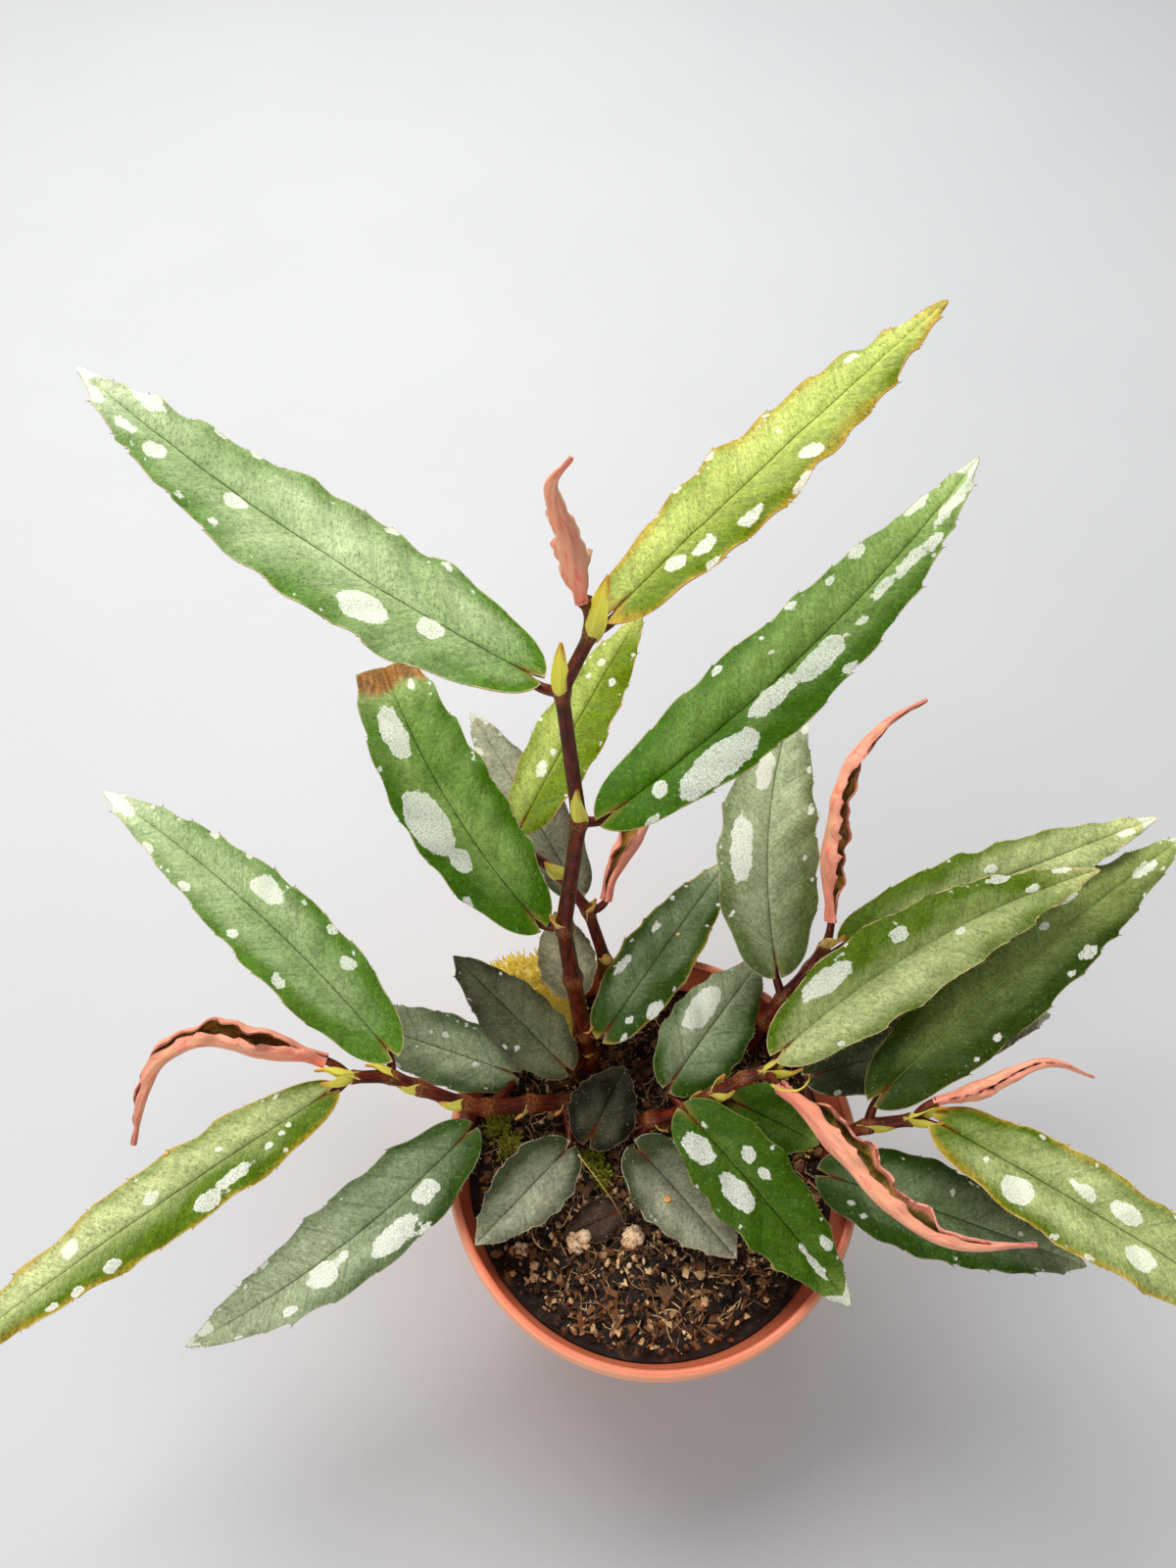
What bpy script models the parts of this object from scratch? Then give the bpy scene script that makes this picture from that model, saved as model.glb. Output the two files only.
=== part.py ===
"""Potted cane begonia: a small tapered plastic pot of soil, six jointed canes with their stalks
and stipules, long spotted leaves and rolled young leaves.

Sizes below are in millimetres. The origin is the centre of the pot's underside, +Z is up, and
the front of the plant faces -Y. Headings are degrees from +X, turning left seen from above.
"""
import math
from dataclasses import dataclass, field

import bmesh
import bpy
import numpy as np

MM = 0.001

# Driving dimensions
POT_HEIGHT = 70.0
POT_RIM_RADIUS = 40.0
POT_BASE_RADIUS = 27.5
POT_WALL = 1.2
POT_FLOOR = 1.6
POT_LIP_HEIGHT = 5.2
POT_LIP_STEP = 1.3
POT_SEGMENTS = 36
DRAIN_HOLES = 5
DRAIN_RADIUS = 3.5
DRAIN_RING = 17.0
SOIL_TOP = 60.0
SOIL_DEPTH_OF_CANE = 10.0
FIT_GAP = 0.35
LEAF_THICKNESS = 0.75
LEAF_STATIONS = 13
SMALL_LEAF_STATIONS = 9
LEAF_COLUMNS = 4
BASE_ROUNDNESS = 0.44
TIP_TAPER = 0.86
LOBE_REACH = 0.25
END_WIDTH = 1.3
TEETH = 6
TOOTH_DEPTH = 0.035
CANE_SIDES = 8
STALK_SIDES = 6
STALK_RADIUS = 0.85
STALK_GAP = 1.3
JOINT_SPAN = 2.2
SHARP_ANGLE = 40
LIP_RIDGES = 3
RIDGE_DEPTH = 0.35
RIDGE_PITCH = 1.3
SMALL_LEAF = 45.0


@dataclass
class Cane:
    """A jointed stem: its joints from below the soil upwards, and its lowest and top radius."""
    name: str
    joints: list
    low_radius: float
    top_radius: float
    stipules: list = field(default_factory=list)


@dataclass
class Leaf:
    """A blade on a stalk that leaves a cane's joint. Angles are in degrees."""
    name: str
    cane: str
    joint: int
    base: tuple
    heading: float
    length: float
    width: float
    rise: float
    droop: float
    sweep: float = 0.0
    roll: float = 0.0
    fold: float = 14.0
    wave: float = 0.5
    waves: float = 3.0
    lobe: float = 0.16
    blunt: float = 0.0
    old: bool = False


@dataclass
class YoungLeaf:
    """A leaf still rolled along its midrib, with the points of its path and its half width."""
    name: str
    cane: str
    joint: int
    path: list
    radius: float


CANES = [
    Cane("cane_tall", [(-12, 19, 50), (-12, 19, 62), (-12.5, 20, 66), (-13.5, 22, 73), (-15.5, 27, 90),
                       (-17, 31, 105), (-14, 39, 130), (-16.5, 46, 157), (-12, 47, 170), (-12.5, 48, 175)],
         2.1, 1.0, [(5, 70, 6), (6, 110, 8), (7, 10, 9), (8, 130, 9), (3, -40, 5)]),
    Cane("cane_left", [(-13, 10, 50), (-13, 10, 62), (-17.5, 9.5, 67), (-24, 8, 71.5), (-32, 6, 76),
                       (-36, 6, 78.5), (-44, 8, 83), (-49, 9.3, 86), (-56, 8, 90)],
         2.0, 1.2, [(5, 160, 6), (7, 30, 4), (8, 20, 5), (3, -60, 5)]),
    Cane("cane_back", [(-9, 31, 50), (-9, 31, 62), (-9, 36, 75), (-12.5, 42, 87), (-18, 46, 95),
                       (-24, 48, 101)],
         1.8, 1.0, [(2, 100, 6), (4, 60, 5)]),
    Cane("cane_middle", [(-5, 6, 50), (-5, 6, 62), (0, 6, 67), (6.5, 6.2, 73), (11, 7.7, 78),
                         (16.5, 9.8, 83), (21, 10.3, 86)],
         2.0, 1.2, [(3, 60, 5), (4, 100, 5), (6, 40, 6)]),
    Cane("cane_right", [(20, 3, 50), (20, 3, 62), (27, 2, 67), (34, 1, 73), (40, 2.3, 78),
                        (47.5, 2.2, 83)],
         1.9, 1.2, [(4, 30, 6), (5, 170, 5)]),
    Cane("cane_back_right", [(22, 24, 50), (22, 24, 62), (23, 25, 70), (26.5, 28, 76), (32, 33, 79),
                             (34.5, 36, 85)],
         1.8, 1.2, [(5, 170, 5)]),
]

LEAVES = [
    Leaf("leaf_upper_left", "cane_tall", 7, (-21.5, 49.3, 157), 149, 87, 21, 12, 2,
         sweep=-16, roll=6, lobe=0.12),
    Leaf("leaf_upper_right", "cane_tall", 8, (-8.5, 49.5, 172), 47, 77, 14.5, 8, 6, roll=-6, lobe=0.2),
    Leaf("leaf_tall_right", "cane_tall", 6, (-8, 40.5, 131), 40, 89, 18.5, 13, -2, sweep=17, lobe=0.2),
    Leaf("leaf_back_narrow", "cane_back", 5, (-25, 52, 105), 66, 60, 14, 2, 12),
    Leaf("leaf_tall_left_cut", "cane_tall", 5, (-22.5, 32, 107), 126, 55, 19, 18, 6, sweep=-24, blunt=0.25),
    Leaf("leaf_left", "cane_left", 7, (-50, 14, 88), 138, 80, 17.5, 8, 6, sweep=14),
    Leaf("leaf_low_left_outer", "cane_left", 8, (-59.5, 5, 90), -143, 76, 14, 8, 18),
    Leaf("leaf_low_left_inner", "cane_left", 5, (-35.5, 0.5, 78), -140, 60, 16.5, 4, 18, sweep=-24),
    Leaf("leaf_dark_left", "cane_left", 4, (-28, 14.2, 71.6), 163, 38, 14, 9, 6, roll=-20, fold=8),
    Leaf("leaf_dark_tall_foot", "cane_tall", 2, (-17.5, 15, 73.5), 137, 31, 14, 15, 10),
    Leaf("leaf_heart_small", "cane_middle", 2, (-12, 2.5, 68), 62, 15, 14, 26, 16),
    Leaf("leaf_grey_front_left", "cane_left", 2, (-17, -0.5, 69), -133, 24, 14, 10, 4, old=True),
    Leaf("leaf_grey_front_middle", "cane_middle", 2, (-2.5, -0.5, 68.5), -47, 26, 16, 4, 16, old=True),
    Leaf("leaf_bright_front", "cane_middle", 4, (6.5, 3.5, 80), -49, 43, 17, 2, 22),
    Leaf("leaf_dark_centre", "cane_tall", 3, (-9, 21, 76), 56, 50, 15, 0, 14),
    Leaf("leaf_centre_right", "cane_middle", 3, (4, 12, 74), 53, 32, 17, 0, 8, roll=12),
    Leaf("leaf_dark_middle", "cane_middle", 4, (16, 6.5, 77), -24, 17, 13, -6, 10),
    Leaf("leaf_upright_back", "cane_back_right", 3, (24.5, 33, 82.5), 88, 57, 20.5, 26, 12, sweep=-34),
    Leaf("leaf_right_big", "cane_middle", 6, (23.5, 13.5, 89), 31, 72, 17.5, 12, 12, sweep=-22),
    Leaf("leaf_right_behind", "cane_back_right", 4, (38.5, 35.5, 87.5), 21, 69, 15, 8, 8),
    Leaf("leaf_right_outer", "cane_right", 4, (42, 7, 83), 38, 86, 18, 10, 14, sweep=-6),
    Leaf("leaf_right_low_grey", "cane_right", 3, (31, 12, 77), 16, 54, 15, 0, 16, old=True),
    Leaf("leaf_low_right_dark", "cane_right", 3, (33, -6, 73), -18, 49, 18, 2, 14),
    Leaf("leaf_low_right_outer", "cane_right", 5, (52, 0.5, 85), -33, 72, 17, 6, 18),
    Leaf("leaf_grey_behind", "cane_back", 3, (-15, 46.5, 88), 121, 44, 14, 14, 8, old=True),
    Leaf("leaf_old_behind_foot", "cane_tall", 3, (-15.5, 28.5, 79), 103, 17, 12, 8, 10, old=True),
]

YOUNG_LEAVES = [
    YoungLeaf("young_leaf_top", "cane_tall", 9,
              [(-13.5, 46.5, 177), (-14, 47, 181), (-15.5, 48, 188), (-17, 49, 195),
               (-14.5, 48.5, 200)], 1.7),
    YoungLeaf("young_leaf_left", "cane_left", 8,
              [(-60, 10.5, 92), (-66, 11.5, 95), (-79, 13, 99), (-87, 10, 98), (-91, 5, 94), (-94, -3, 86)],
              2.5),
    YoungLeaf("young_leaf_back_right", "cane_back_right", 5,
              [(35, 39, 89), (35, 45, 94), (36, 54, 98), (39, 65, 103), (46, 73, 107), (54, 77, 110)], 2.4),
    YoungLeaf("young_leaf_right", "cane_right", 5,
              [(50.5, 4.5, 86), (58, 6, 89), (70, 10, 92), (79, 8, 90)], 1.5),
    YoungLeaf("young_leaf_front_right", "cane_middle", 6,
              [(22, 6.5, 89), (26, 2, 92), (32, -5, 93), (39, -14, 92), (49, -20, 90), (64, -20, 87)], 2.3),
    YoungLeaf("young_leaf_back", "cane_back", 3,
              [(-9, 43.5, 89), (-8, 47, 92), (-4, 54, 98), (5, 69, 106), (16, 87, 113)], 2.5),
]

COLOURS = {
    "pot": ((0.62, 0.20, 0.11, 1), 0.45),
    "soil": ((0.055, 0.034, 0.022, 1), 0.95),
    "cane": ((0.19, 0.045, 0.035, 1), 0.5),
    "leaf": ((0.13, 0.24, 0.09, 1), 0.5),
    "old_leaf": ((0.12, 0.15, 0.13, 1), 0.7),
    "young_leaf": ((0.72, 0.30, 0.22, 1), 0.5),
}


def clear_scene():
    for thing in list(bpy.data.objects):
        bpy.data.objects.remove(thing, do_unlink=True)


def material(kind):
    """Return the shared Principled material of one kind of piece, made on its first use."""
    found = bpy.data.materials.get(kind)
    if found:
        return found
    colour, roughness = COLOURS[kind]
    made = bpy.data.materials.new(kind)
    made.use_nodes = True
    shader = made.node_tree.nodes["Principled BSDF"]
    shader.inputs["Base Color"].default_value = colour
    shader.inputs["Roughness"].default_value = roughness
    shader.inputs["Metallic"].default_value = 0.0
    return made


def mesh_object(name, points, faces, kind):
    """Make an object from points in millimetres and faces, with every face pointing out."""
    mesh = bpy.data.meshes.new(name)
    mesh.from_pydata([tuple(float(c) * MM for c in point) for point in points], [], faces)
    shell = bmesh.new()
    shell.from_mesh(mesh)
    bmesh.ops.recalc_face_normals(shell, faces=shell.faces)
    if shell.calc_volume(signed=True) < 0:
        bmesh.ops.reverse_faces(shell, faces=shell.faces)
    shell.to_mesh(mesh)
    shell.free()
    mesh.shade_smooth()
    mesh.set_sharp_from_angle(angle=math.radians(SHARP_ANGLE))
    made = bpy.data.objects.new(name, mesh)
    bpy.context.scene.collection.objects.link(made)
    made.data.materials.append(material(kind))
    return made


def unit(vector):
    return vector / max(np.linalg.norm(vector), 1e-9)


def smooth_path(points, steps):
    """Return a smooth curve through the points, as a Catmull-Rom spline with equal steps a span."""
    points = np.asarray(points, float)
    ends = np.vstack([2 * points[0] - points[1], points, 2 * points[-1] - points[-2]])
    out = []
    for a, b, c, d in zip(ends, ends[1:], ends[2:], ends[3:]):
        for t in np.arange(steps) / steps:
            out.append(0.5 * (2 * b + (c - a) * t + (2 * a - 5 * b + 4 * c - d) * t ** 2
                              + (3 * b - a - 3 * c + d) * t ** 3))
    out.append(points[-1])
    return np.array(out)


def sweep(path, radii, section, up=(0.0, 0.0, 1.0)):
    """Carry a closed section along a path.

    Each section point (across, above) is scaled by the radius there. Across is square to the
    path and level wherever it can be. Returns points and faces, with a flat cap on each end.
    """
    path = np.asarray(path, float)
    section = np.asarray(section, float)
    across = None
    rings = []
    for i, point in enumerate(path):
        ahead = unit(path[min(i + 1, len(path) - 1)] - path[max(i - 1, 0)])
        if across is None:
            across = np.cross(up, ahead)
            if np.linalg.norm(across) < 0.05:
                across = np.array([1.0, 0.0, 0.0])
        across = unit(across - ahead * np.dot(across, ahead))
        above = np.cross(ahead, across)
        ring = section * radii[i]
        rings.append(point + np.outer(ring[:, 0], across) + np.outer(ring[:, 1], above))
    count = len(section)
    faces = [tuple(reversed(range(count)))]
    for i in range(len(path) - 1):
        for j in range(count):
            k = (j + 1) % count
            faces.append((i * count + j, i * count + k, (i + 1) * count + k, (i + 1) * count + j))
    faces.append(tuple((len(path) - 1) * count + j for j in range(count)))
    return np.vstack(rings), faces


def circle(sides):
    turn = np.arange(sides) * 2 * math.pi / sides
    return np.stack([np.cos(turn), np.sin(turn)], -1)


def fuse(name, pieces, kind):
    """Join overlapping pieces into one body with a Boolean union, and remove the loose ones."""
    first, rest = pieces[0], pieces[1:]
    group = bpy.data.collections.new(name + "_pieces")
    for piece in rest:
        group.objects.link(piece)
    union = first.modifiers.new("union", "BOOLEAN")
    union.operation = "UNION"
    union.operand_type = "COLLECTION"
    union.collection = group
    union.solver = "EXACT"
    return apply_modifiers(name, first, rest, group, kind)


def apply_modifiers(name, first, used_up, group, kind):
    """Replace an object by its evaluated mesh under a new name, and remove what it used up."""
    bpy.context.view_layer.update()
    graph = bpy.context.evaluated_depsgraph_get()
    mesh = bpy.data.meshes.new_from_object(first.evaluated_get(graph))
    made = bpy.data.objects.new(name, mesh)
    bpy.context.scene.collection.objects.link(made)
    mesh.materials.clear()
    mesh.materials.append(material(kind))
    for thing in [first] + used_up:
        bpy.data.objects.remove(thing, do_unlink=True)
    if group:
        bpy.data.collections.remove(group)
    return made


def turned_profile():
    """The pot's outline, radius and height, from the middle of its underside to its inside floor."""
    rim, top = POT_RIM_RADIUS, POT_HEIGHT
    lip_low = top - POT_LIP_HEIGHT
    under_lip = rim - POT_LIP_STEP
    inner_base = POT_BASE_RADIUS - POT_WALL
    ridges = []
    for i in range(LIP_RIDGES):
        height = lip_low + 0.9 + RIDGE_PITCH * i
        ridges += [(rim - RIDGE_DEPTH, height), (rim, height + 0.55)]
    return ([(0, 0), (POT_BASE_RADIUS - 1.4, 0), (POT_BASE_RADIUS, 1.4), (under_lip, lip_low - 0.9),
             (rim - 0.2, lip_low)] + ridges
            + [(rim - RIDGE_DEPTH, top - 0.3), (rim - 0.7, top), (rim - 1.7, top), (rim - 2.0, top - 0.4),
               (rim - 2.1, lip_low), (under_lip - POT_WALL, lip_low - 1.4),
               (inner_base, POT_FLOOR + 1.0), (inner_base - 1.0, POT_FLOOR), (0, POT_FLOOR)])


def inner_radius(height):
    """The pot's inside radius at a height below the lip."""
    top = POT_HEIGHT - POT_LIP_HEIGHT - 1.4
    share = (height - POT_FLOOR - 1.0) / (top - POT_FLOOR - 1.0)
    low = POT_BASE_RADIUS - POT_WALL
    return low + (POT_RIM_RADIUS - POT_LIP_STEP - POT_WALL - low) * min(share, 1.0)


def turn(name, profile, segments, kind):
    """Spin an outline about Z. Its first and last points lie on the axis."""
    angles = np.arange(segments) * 2 * math.pi / segments
    points = [(0, 0, profile[0][1])]
    for radius, height in profile[1:-1]:
        points += [(radius * math.cos(a), radius * math.sin(a), height) for a in angles]
    points.append((0, 0, profile[-1][1]))
    rings = len(profile) - 2
    last = len(points) - 1
    faces = []
    for j in range(segments):
        k = (j + 1) % segments
        faces.append((0, 1 + k, 1 + j))
        for i in range(rings - 1):
            low, high = 1 + i * segments, 1 + (i + 1) * segments
            faces.append((low + j, low + k, high + k, high + j))
        high = 1 + (rings - 1) * segments
        faces.append((high + j, high + k, last))
    return mesh_object(name, points, faces, kind)


def cut(target, cutters, kind):
    """Cut a collection of cutters out of an object and return the finished object."""
    group = bpy.data.collections.new(target.name + "_cutters")
    for cutter in cutters:
        cutter.hide_render = True
        cutter.display_type = "WIRE"
        group.objects.link(cutter)
    holes = target.modifiers.new("holes", "BOOLEAN")
    holes.operation = "DIFFERENCE"
    holes.operand_type = "COLLECTION"
    holes.collection = group
    holes.solver = "EXACT"
    name = target.name
    target.name = name + "_uncut"
    return apply_modifiers(name, target, cutters, group, kind)


def make_pot():
    pot = turn("pot", turned_profile(), POT_SEGMENTS, "pot")
    drills = []
    for i in range(DRAIN_HOLES):
        angle = 2 * math.pi * i / DRAIN_HOLES
        centre = np.array([DRAIN_RING * math.cos(angle), DRAIN_RING * math.sin(angle), 0])
        points, faces = sweep([centre - (0, 0, 2), centre + (0, 0, POT_FLOOR + 2)],
                              [DRAIN_RADIUS] * 2, circle(12))
        drills.append(mesh_object("drill", points, faces, "pot"))
    return cut(pot, drills, "pot")


def soil_height(x, y):
    """The soil's surface: a low mound with crumbs, lower against the wall."""
    radius = np.hypot(x, y)
    crumbs = (0.55 * np.sin(0.9 * x + 1.3) * np.sin(0.8 * y) + 0.4 * np.sin(1.7 * x - 0.9 * y)
              + 0.3 * np.sin(2.3 * y + 0.6 * x))
    return SOIL_TOP + 1.2 * np.cos(radius / 24.0) - 1.0 + crumbs * np.clip((37 - radius) / 6, 0, 1)


def make_soil():
    """Soil that fills the pot, with a plain hole for each cane."""
    segments, rings = POT_SEGMENTS, 11
    angles = np.arange(segments) * 2 * math.pi / segments
    low = POT_FLOOR + 1.3
    edge_height = float(soil_height(np.array(36.0), np.array(0.0)))
    edge = inner_radius(edge_height) - FIT_GAP
    points = [(0, 0, POT_FLOOR + FIT_GAP)]
    bottom = inner_radius(low) - 1.6
    points += [(bottom * math.cos(a), bottom * math.sin(a), POT_FLOOR + FIT_GAP) for a in angles]
    for i in range(rings):
        radius = edge * (1 - i / rings)
        for a in angles:
            x, y = radius * math.cos(a), radius * math.sin(a)
            points.append((x, y, edge_height if i == 0 else float(soil_height(x, y))))
    points.append((0, 0, float(soil_height(0.0, 0.0))))
    last = len(points) - 1
    faces = []
    for j in range(segments):
        k = (j + 1) % segments
        faces.append((0, 1 + k, 1 + j))
        for i in range(rings):
            a, b = 1 + i * segments, 1 + (i + 1) * segments
            faces.append((a + j, a + k, b + k, b + j))
        top = 1 + rings * segments
        faces.append((top + j, top + k, last))
    soil = mesh_object("soil", points, faces, "soil")
    drills = []
    for cane in CANES:
        foot = np.array(cane.joints[0], float)
        points, faces = sweep([foot - (0, 0, 1.0), foot + (0, 0, SOIL_DEPTH_OF_CANE + 6.0)],
                              [(cane.low_radius + FIT_GAP) / math.cos(math.pi / 12)] * 2, circle(12))
        drills.append(mesh_object("drill", points, faces, "soil"))
    return cut(soil, drills, "soil")


def blade_frame(leaf, stations):
    """Midrib points and the left and upward directions along a leaf, as arrays."""
    fine = np.linspace(0, 1, 121)
    heading = np.radians(leaf.heading + leaf.sweep * (fine - 0.35))
    rise = np.radians(leaf.rise - leaf.droop * fine)
    ahead = np.stack([np.cos(rise) * np.cos(heading), np.cos(rise) * np.sin(heading), np.sin(rise)], -1)
    steps = 0.5 * (ahead[1:] + ahead[:-1]) * leaf.length / 120
    spine = np.vstack([[0, 0, 0], np.cumsum(steps, 0)]) + np.array(leaf.base, float)
    point = np.stack([np.interp(stations, fine, spine[:, i]) for i in range(3)], -1)
    forward = np.stack([np.interp(stations, fine, ahead[:, i]) for i in range(3)], -1)
    forward /= np.linalg.norm(forward, axis=1)[:, None]
    left = np.cross([0, 0, 1.0], forward)
    left /= np.linalg.norm(left, axis=1)[:, None]
    above = np.cross(forward, left)
    lean = math.radians(leaf.roll)
    return (point, forward, left * math.cos(lean) + above * math.sin(lean),
            above * math.cos(lean) - left * math.sin(lean))


def half_width(leaf, s):
    """Half the blade's width: round at the base, widest at a third, then a long taper to the tip.

    Shallow blunt teeth follow a sine along the margin.
    """
    along = np.clip(s * (1 - leaf.blunt), 0, 1)
    widest = BASE_ROUNDNESS / (BASE_ROUNDNESS + TIP_TAPER)
    shape = (along / widest) ** BASE_ROUNDNESS * ((1 - along) / (1 - widest)) ** TIP_TAPER
    shape = shape * (1 + TOOTH_DEPTH * np.sin(2 * math.pi * TEETH * s))
    return np.maximum(leaf.width / 2 * shape, END_WIDTH / 2)


def blade_surface(leaf, s, u):
    """Middle surface of a leaf for stations s and places across u, from -1 to 1.

    Across, the halves rise from the midrib by the fold and turn down again towards the margin.
    The margin waves, and beside the stalk both halves reach back as lobes.
    """
    point, forward, left, above = blade_frame(leaf, s)
    half = half_width(leaf, s)[:, None]
    fold = math.radians(leaf.fold)
    across = half * u * math.cos(fold)
    wave = leaf.wave * np.abs(u) ** 2 * np.sin(2 * math.pi * leaf.waves * s[:, None] + 1.5 * np.sign(u))
    fade = np.clip(s / 0.15, 0, 1)[:, None] * np.clip((1 - s) / 0.1, 0, 1)[:, None]
    height = half * (np.abs(u) * math.sin(fold) * 1.6 - u ** 2 * math.sin(fold)) + wave * fade
    back = leaf.lobe * leaf.width * np.abs(u) ** 1.5 * np.clip(1 - s / LOBE_REACH, 0, 1)[:, None] ** 2
    return (point[:, None, :] - forward[:, None, :] * back[..., None]
            + left[:, None, :] * across[..., None] + above[:, None, :] * height[..., None])


def make_leaf(leaf):
    """A closed blade of even thickness, both faces split into the same triangles."""
    rows = SMALL_LEAF_STATIONS if leaf.length < SMALL_LEAF else LEAF_STATIONS
    s = (np.arange(rows + 1) / rows) ** 1.12
    u = np.linspace(1, -1, LEAF_COLUMNS + 1)[None, :]
    middle = blade_surface(leaf, s, u)
    along = np.gradient(middle, axis=0)
    across = np.gradient(middle, axis=1)
    normal = np.cross(across, along)
    normal /= np.linalg.norm(normal, axis=2)[..., None]
    thick = LEAF_THICKNESS / 2
    points = np.concatenate([(middle + normal * thick).reshape(-1, 3),
                             (middle - normal * thick).reshape(-1, 3)])
    columns = LEAF_COLUMNS + 1
    under = (rows + 1) * columns
    faces = []
    for i in range(rows):
        for j in range(LEAF_COLUMNS):
            a, b = i * columns + j, i * columns + j + 1
            c, d = b + columns, a + columns
            pair = [(a, b, c), (a, c, d)] if j < LEAF_COLUMNS // 2 else [(a, b, d), (b, c, d)]
            for one in pair:
                faces.append(one)
                faces.append(tuple(reversed([v + under for v in one])))
    loop = ([j for j in range(columns)] + [i * columns + columns - 1 for i in range(1, rows + 1)]
            + [rows * columns + j for j in range(columns - 2, -1, -1)]
            + [i * columns for i in range(rows - 1, 0, -1)])
    for a, b in zip(loop, loop[1:] + loop[:1]):
        faces += [(a, a + under, b), (b, a + under, b + under)]
    return mesh_object(leaf.name, points, faces, "old_leaf" if leaf.old else "leaf")


def rolled_section():
    """A rolled blade in section: a C with its opening up and its margins turned in."""
    outer = np.radians(np.linspace(68, -248, 8))
    inner = np.radians(np.linspace(-248, 68, 5))
    return np.concatenate([np.stack([np.cos(outer), np.sin(outer)], -1),
                           0.58 * np.stack([np.cos(inner), np.sin(inner)], -1)])


def make_young_leaf(young):
    path = smooth_path(young.path, 3)
    along = np.linspace(0, 1, len(path))
    swell = np.clip(along / 0.25, 0.3, 1) ** 0.6 * np.clip((1 - along) / 0.75, 0.16, 1) ** 0.7
    points, faces = sweep(path, young.radius * swell, rolled_section())
    return mesh_object(young.name, points, faces, "young_leaf")


def cane_rings(cane):
    """A cane's path with a swollen ring at each joint above the soil, and its radius there."""
    joints = [np.array(joint, float) for joint in cane.joints]
    path, radii = [joints[0]], [cane.low_radius]
    count = len(joints) - 1
    for i in range(1, len(joints)):
        radius = cane.low_radius + (cane.top_radius - cane.low_radius) * i / count
        before = unit(joints[i] - joints[i - 1])
        if i == count:
            path += [joints[i] - before * 1.2, joints[i]]
            radii += [radius, radius * 0.7]
            continue
        after = unit(joints[i + 1] - joints[i])
        if i == 1:
            path.append(joints[i])
            radii.append(radius)
            continue
        path += [joints[i] - before * JOINT_SPAN, joints[i], joints[i] + after * JOINT_SPAN]
        radii += [radius * 0.94, radius * 1.18, radius * 0.9]
    return path, radii


def stalk_to(cane, joint, end, arrive):
    """A leaf's stalk from the middle of a cane's joint to its end, arriving from below."""
    start = np.array(cane.joints[joint], float)
    reach = np.linalg.norm(end - start)
    bend = end - arrive * reach * 0.5
    t = np.linspace(0, 1, 5)[:, None]
    path = (1 - t) ** 2 * start + 2 * t * (1 - t) * bend + t ** 2 * end
    radii = np.linspace(STALK_RADIUS * 1.2, STALK_RADIUS * 0.85, 5)
    return sweep(path, radii, circle(STALK_SIDES))


def stipule(cane, joint, heading, length):
    """A pointed papery scale that stands beside a joint, its foot sunk in the cane."""
    foot = np.array(cane.joints[joint], float)
    turn_to = math.radians(heading)
    out = np.array([math.cos(turn_to), math.sin(turn_to), 0])
    up = unit(np.array(cane.joints[min(joint + 1, len(cane.joints) - 1)], float)
              - np.array(cane.joints[joint - 1], float))
    path = [foot + out * 0.3, foot + out * 1.8 + up * length * 0.35, foot + out * 2.6 + up * length]
    section = [(1, 0), (0.3, 0.32), (-1, 0), (0.3, -0.32)]
    return sweep(path, [1.3, 1.5, 0.25], section)


def attachments(cane):
    """The stalk ends of all the leaves on a cane: joint, end point and arriving direction."""
    ends = []
    for leaf in LEAVES:
        if leaf.cane != cane.name:
            continue
        _, forward, _, above = blade_frame(leaf, np.array([0.0]))
        arrive = unit(forward[0] * 0.8 + above[0] * 0.6)
        ends.append((leaf.joint, np.array(leaf.base, float) - arrive * STALK_GAP, arrive))
    for young in YOUNG_LEAVES:
        if young.cane != cane.name:
            continue
        arrive = unit(np.array(young.path[1], float) - np.array(young.path[0], float))
        ends.append((young.joint, np.array(young.path[0], float) - arrive * STALK_GAP * 0.75, arrive))
    return ends


def make_cane(cane):
    path, radii = cane_rings(cane)
    shapes = [sweep(path, radii, circle(CANE_SIDES))]
    shapes += [stalk_to(cane, *end) for end in attachments(cane)]
    shapes += [stipule(cane, *place) for place in cane.stipules]
    pieces = [mesh_object(cane.name + "_part", points, faces, "cane") for points, faces in shapes]
    return fuse(cane.name, pieces, "cane")


def main():
    clear_scene()
    make_pot()
    make_soil()
    for cane in CANES:
        make_cane(cane)
    for leaf in LEAVES:
        make_leaf(leaf)
    for young in YOUNG_LEAVES:
        make_young_leaf(young)


main()
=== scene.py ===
"""A potted cane begonia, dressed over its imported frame.

Sizes are in millimetres and angles in degrees until a mesh is written, which is in metres. The
origin is the centre of the pot's underside, +Z is up, and the front of the plant faces -Y.
Headings are degrees from +X, turning left seen from above.
"""
import logging
import math
from dataclasses import dataclass, field
from enum import Enum
from itertools import product

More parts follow.
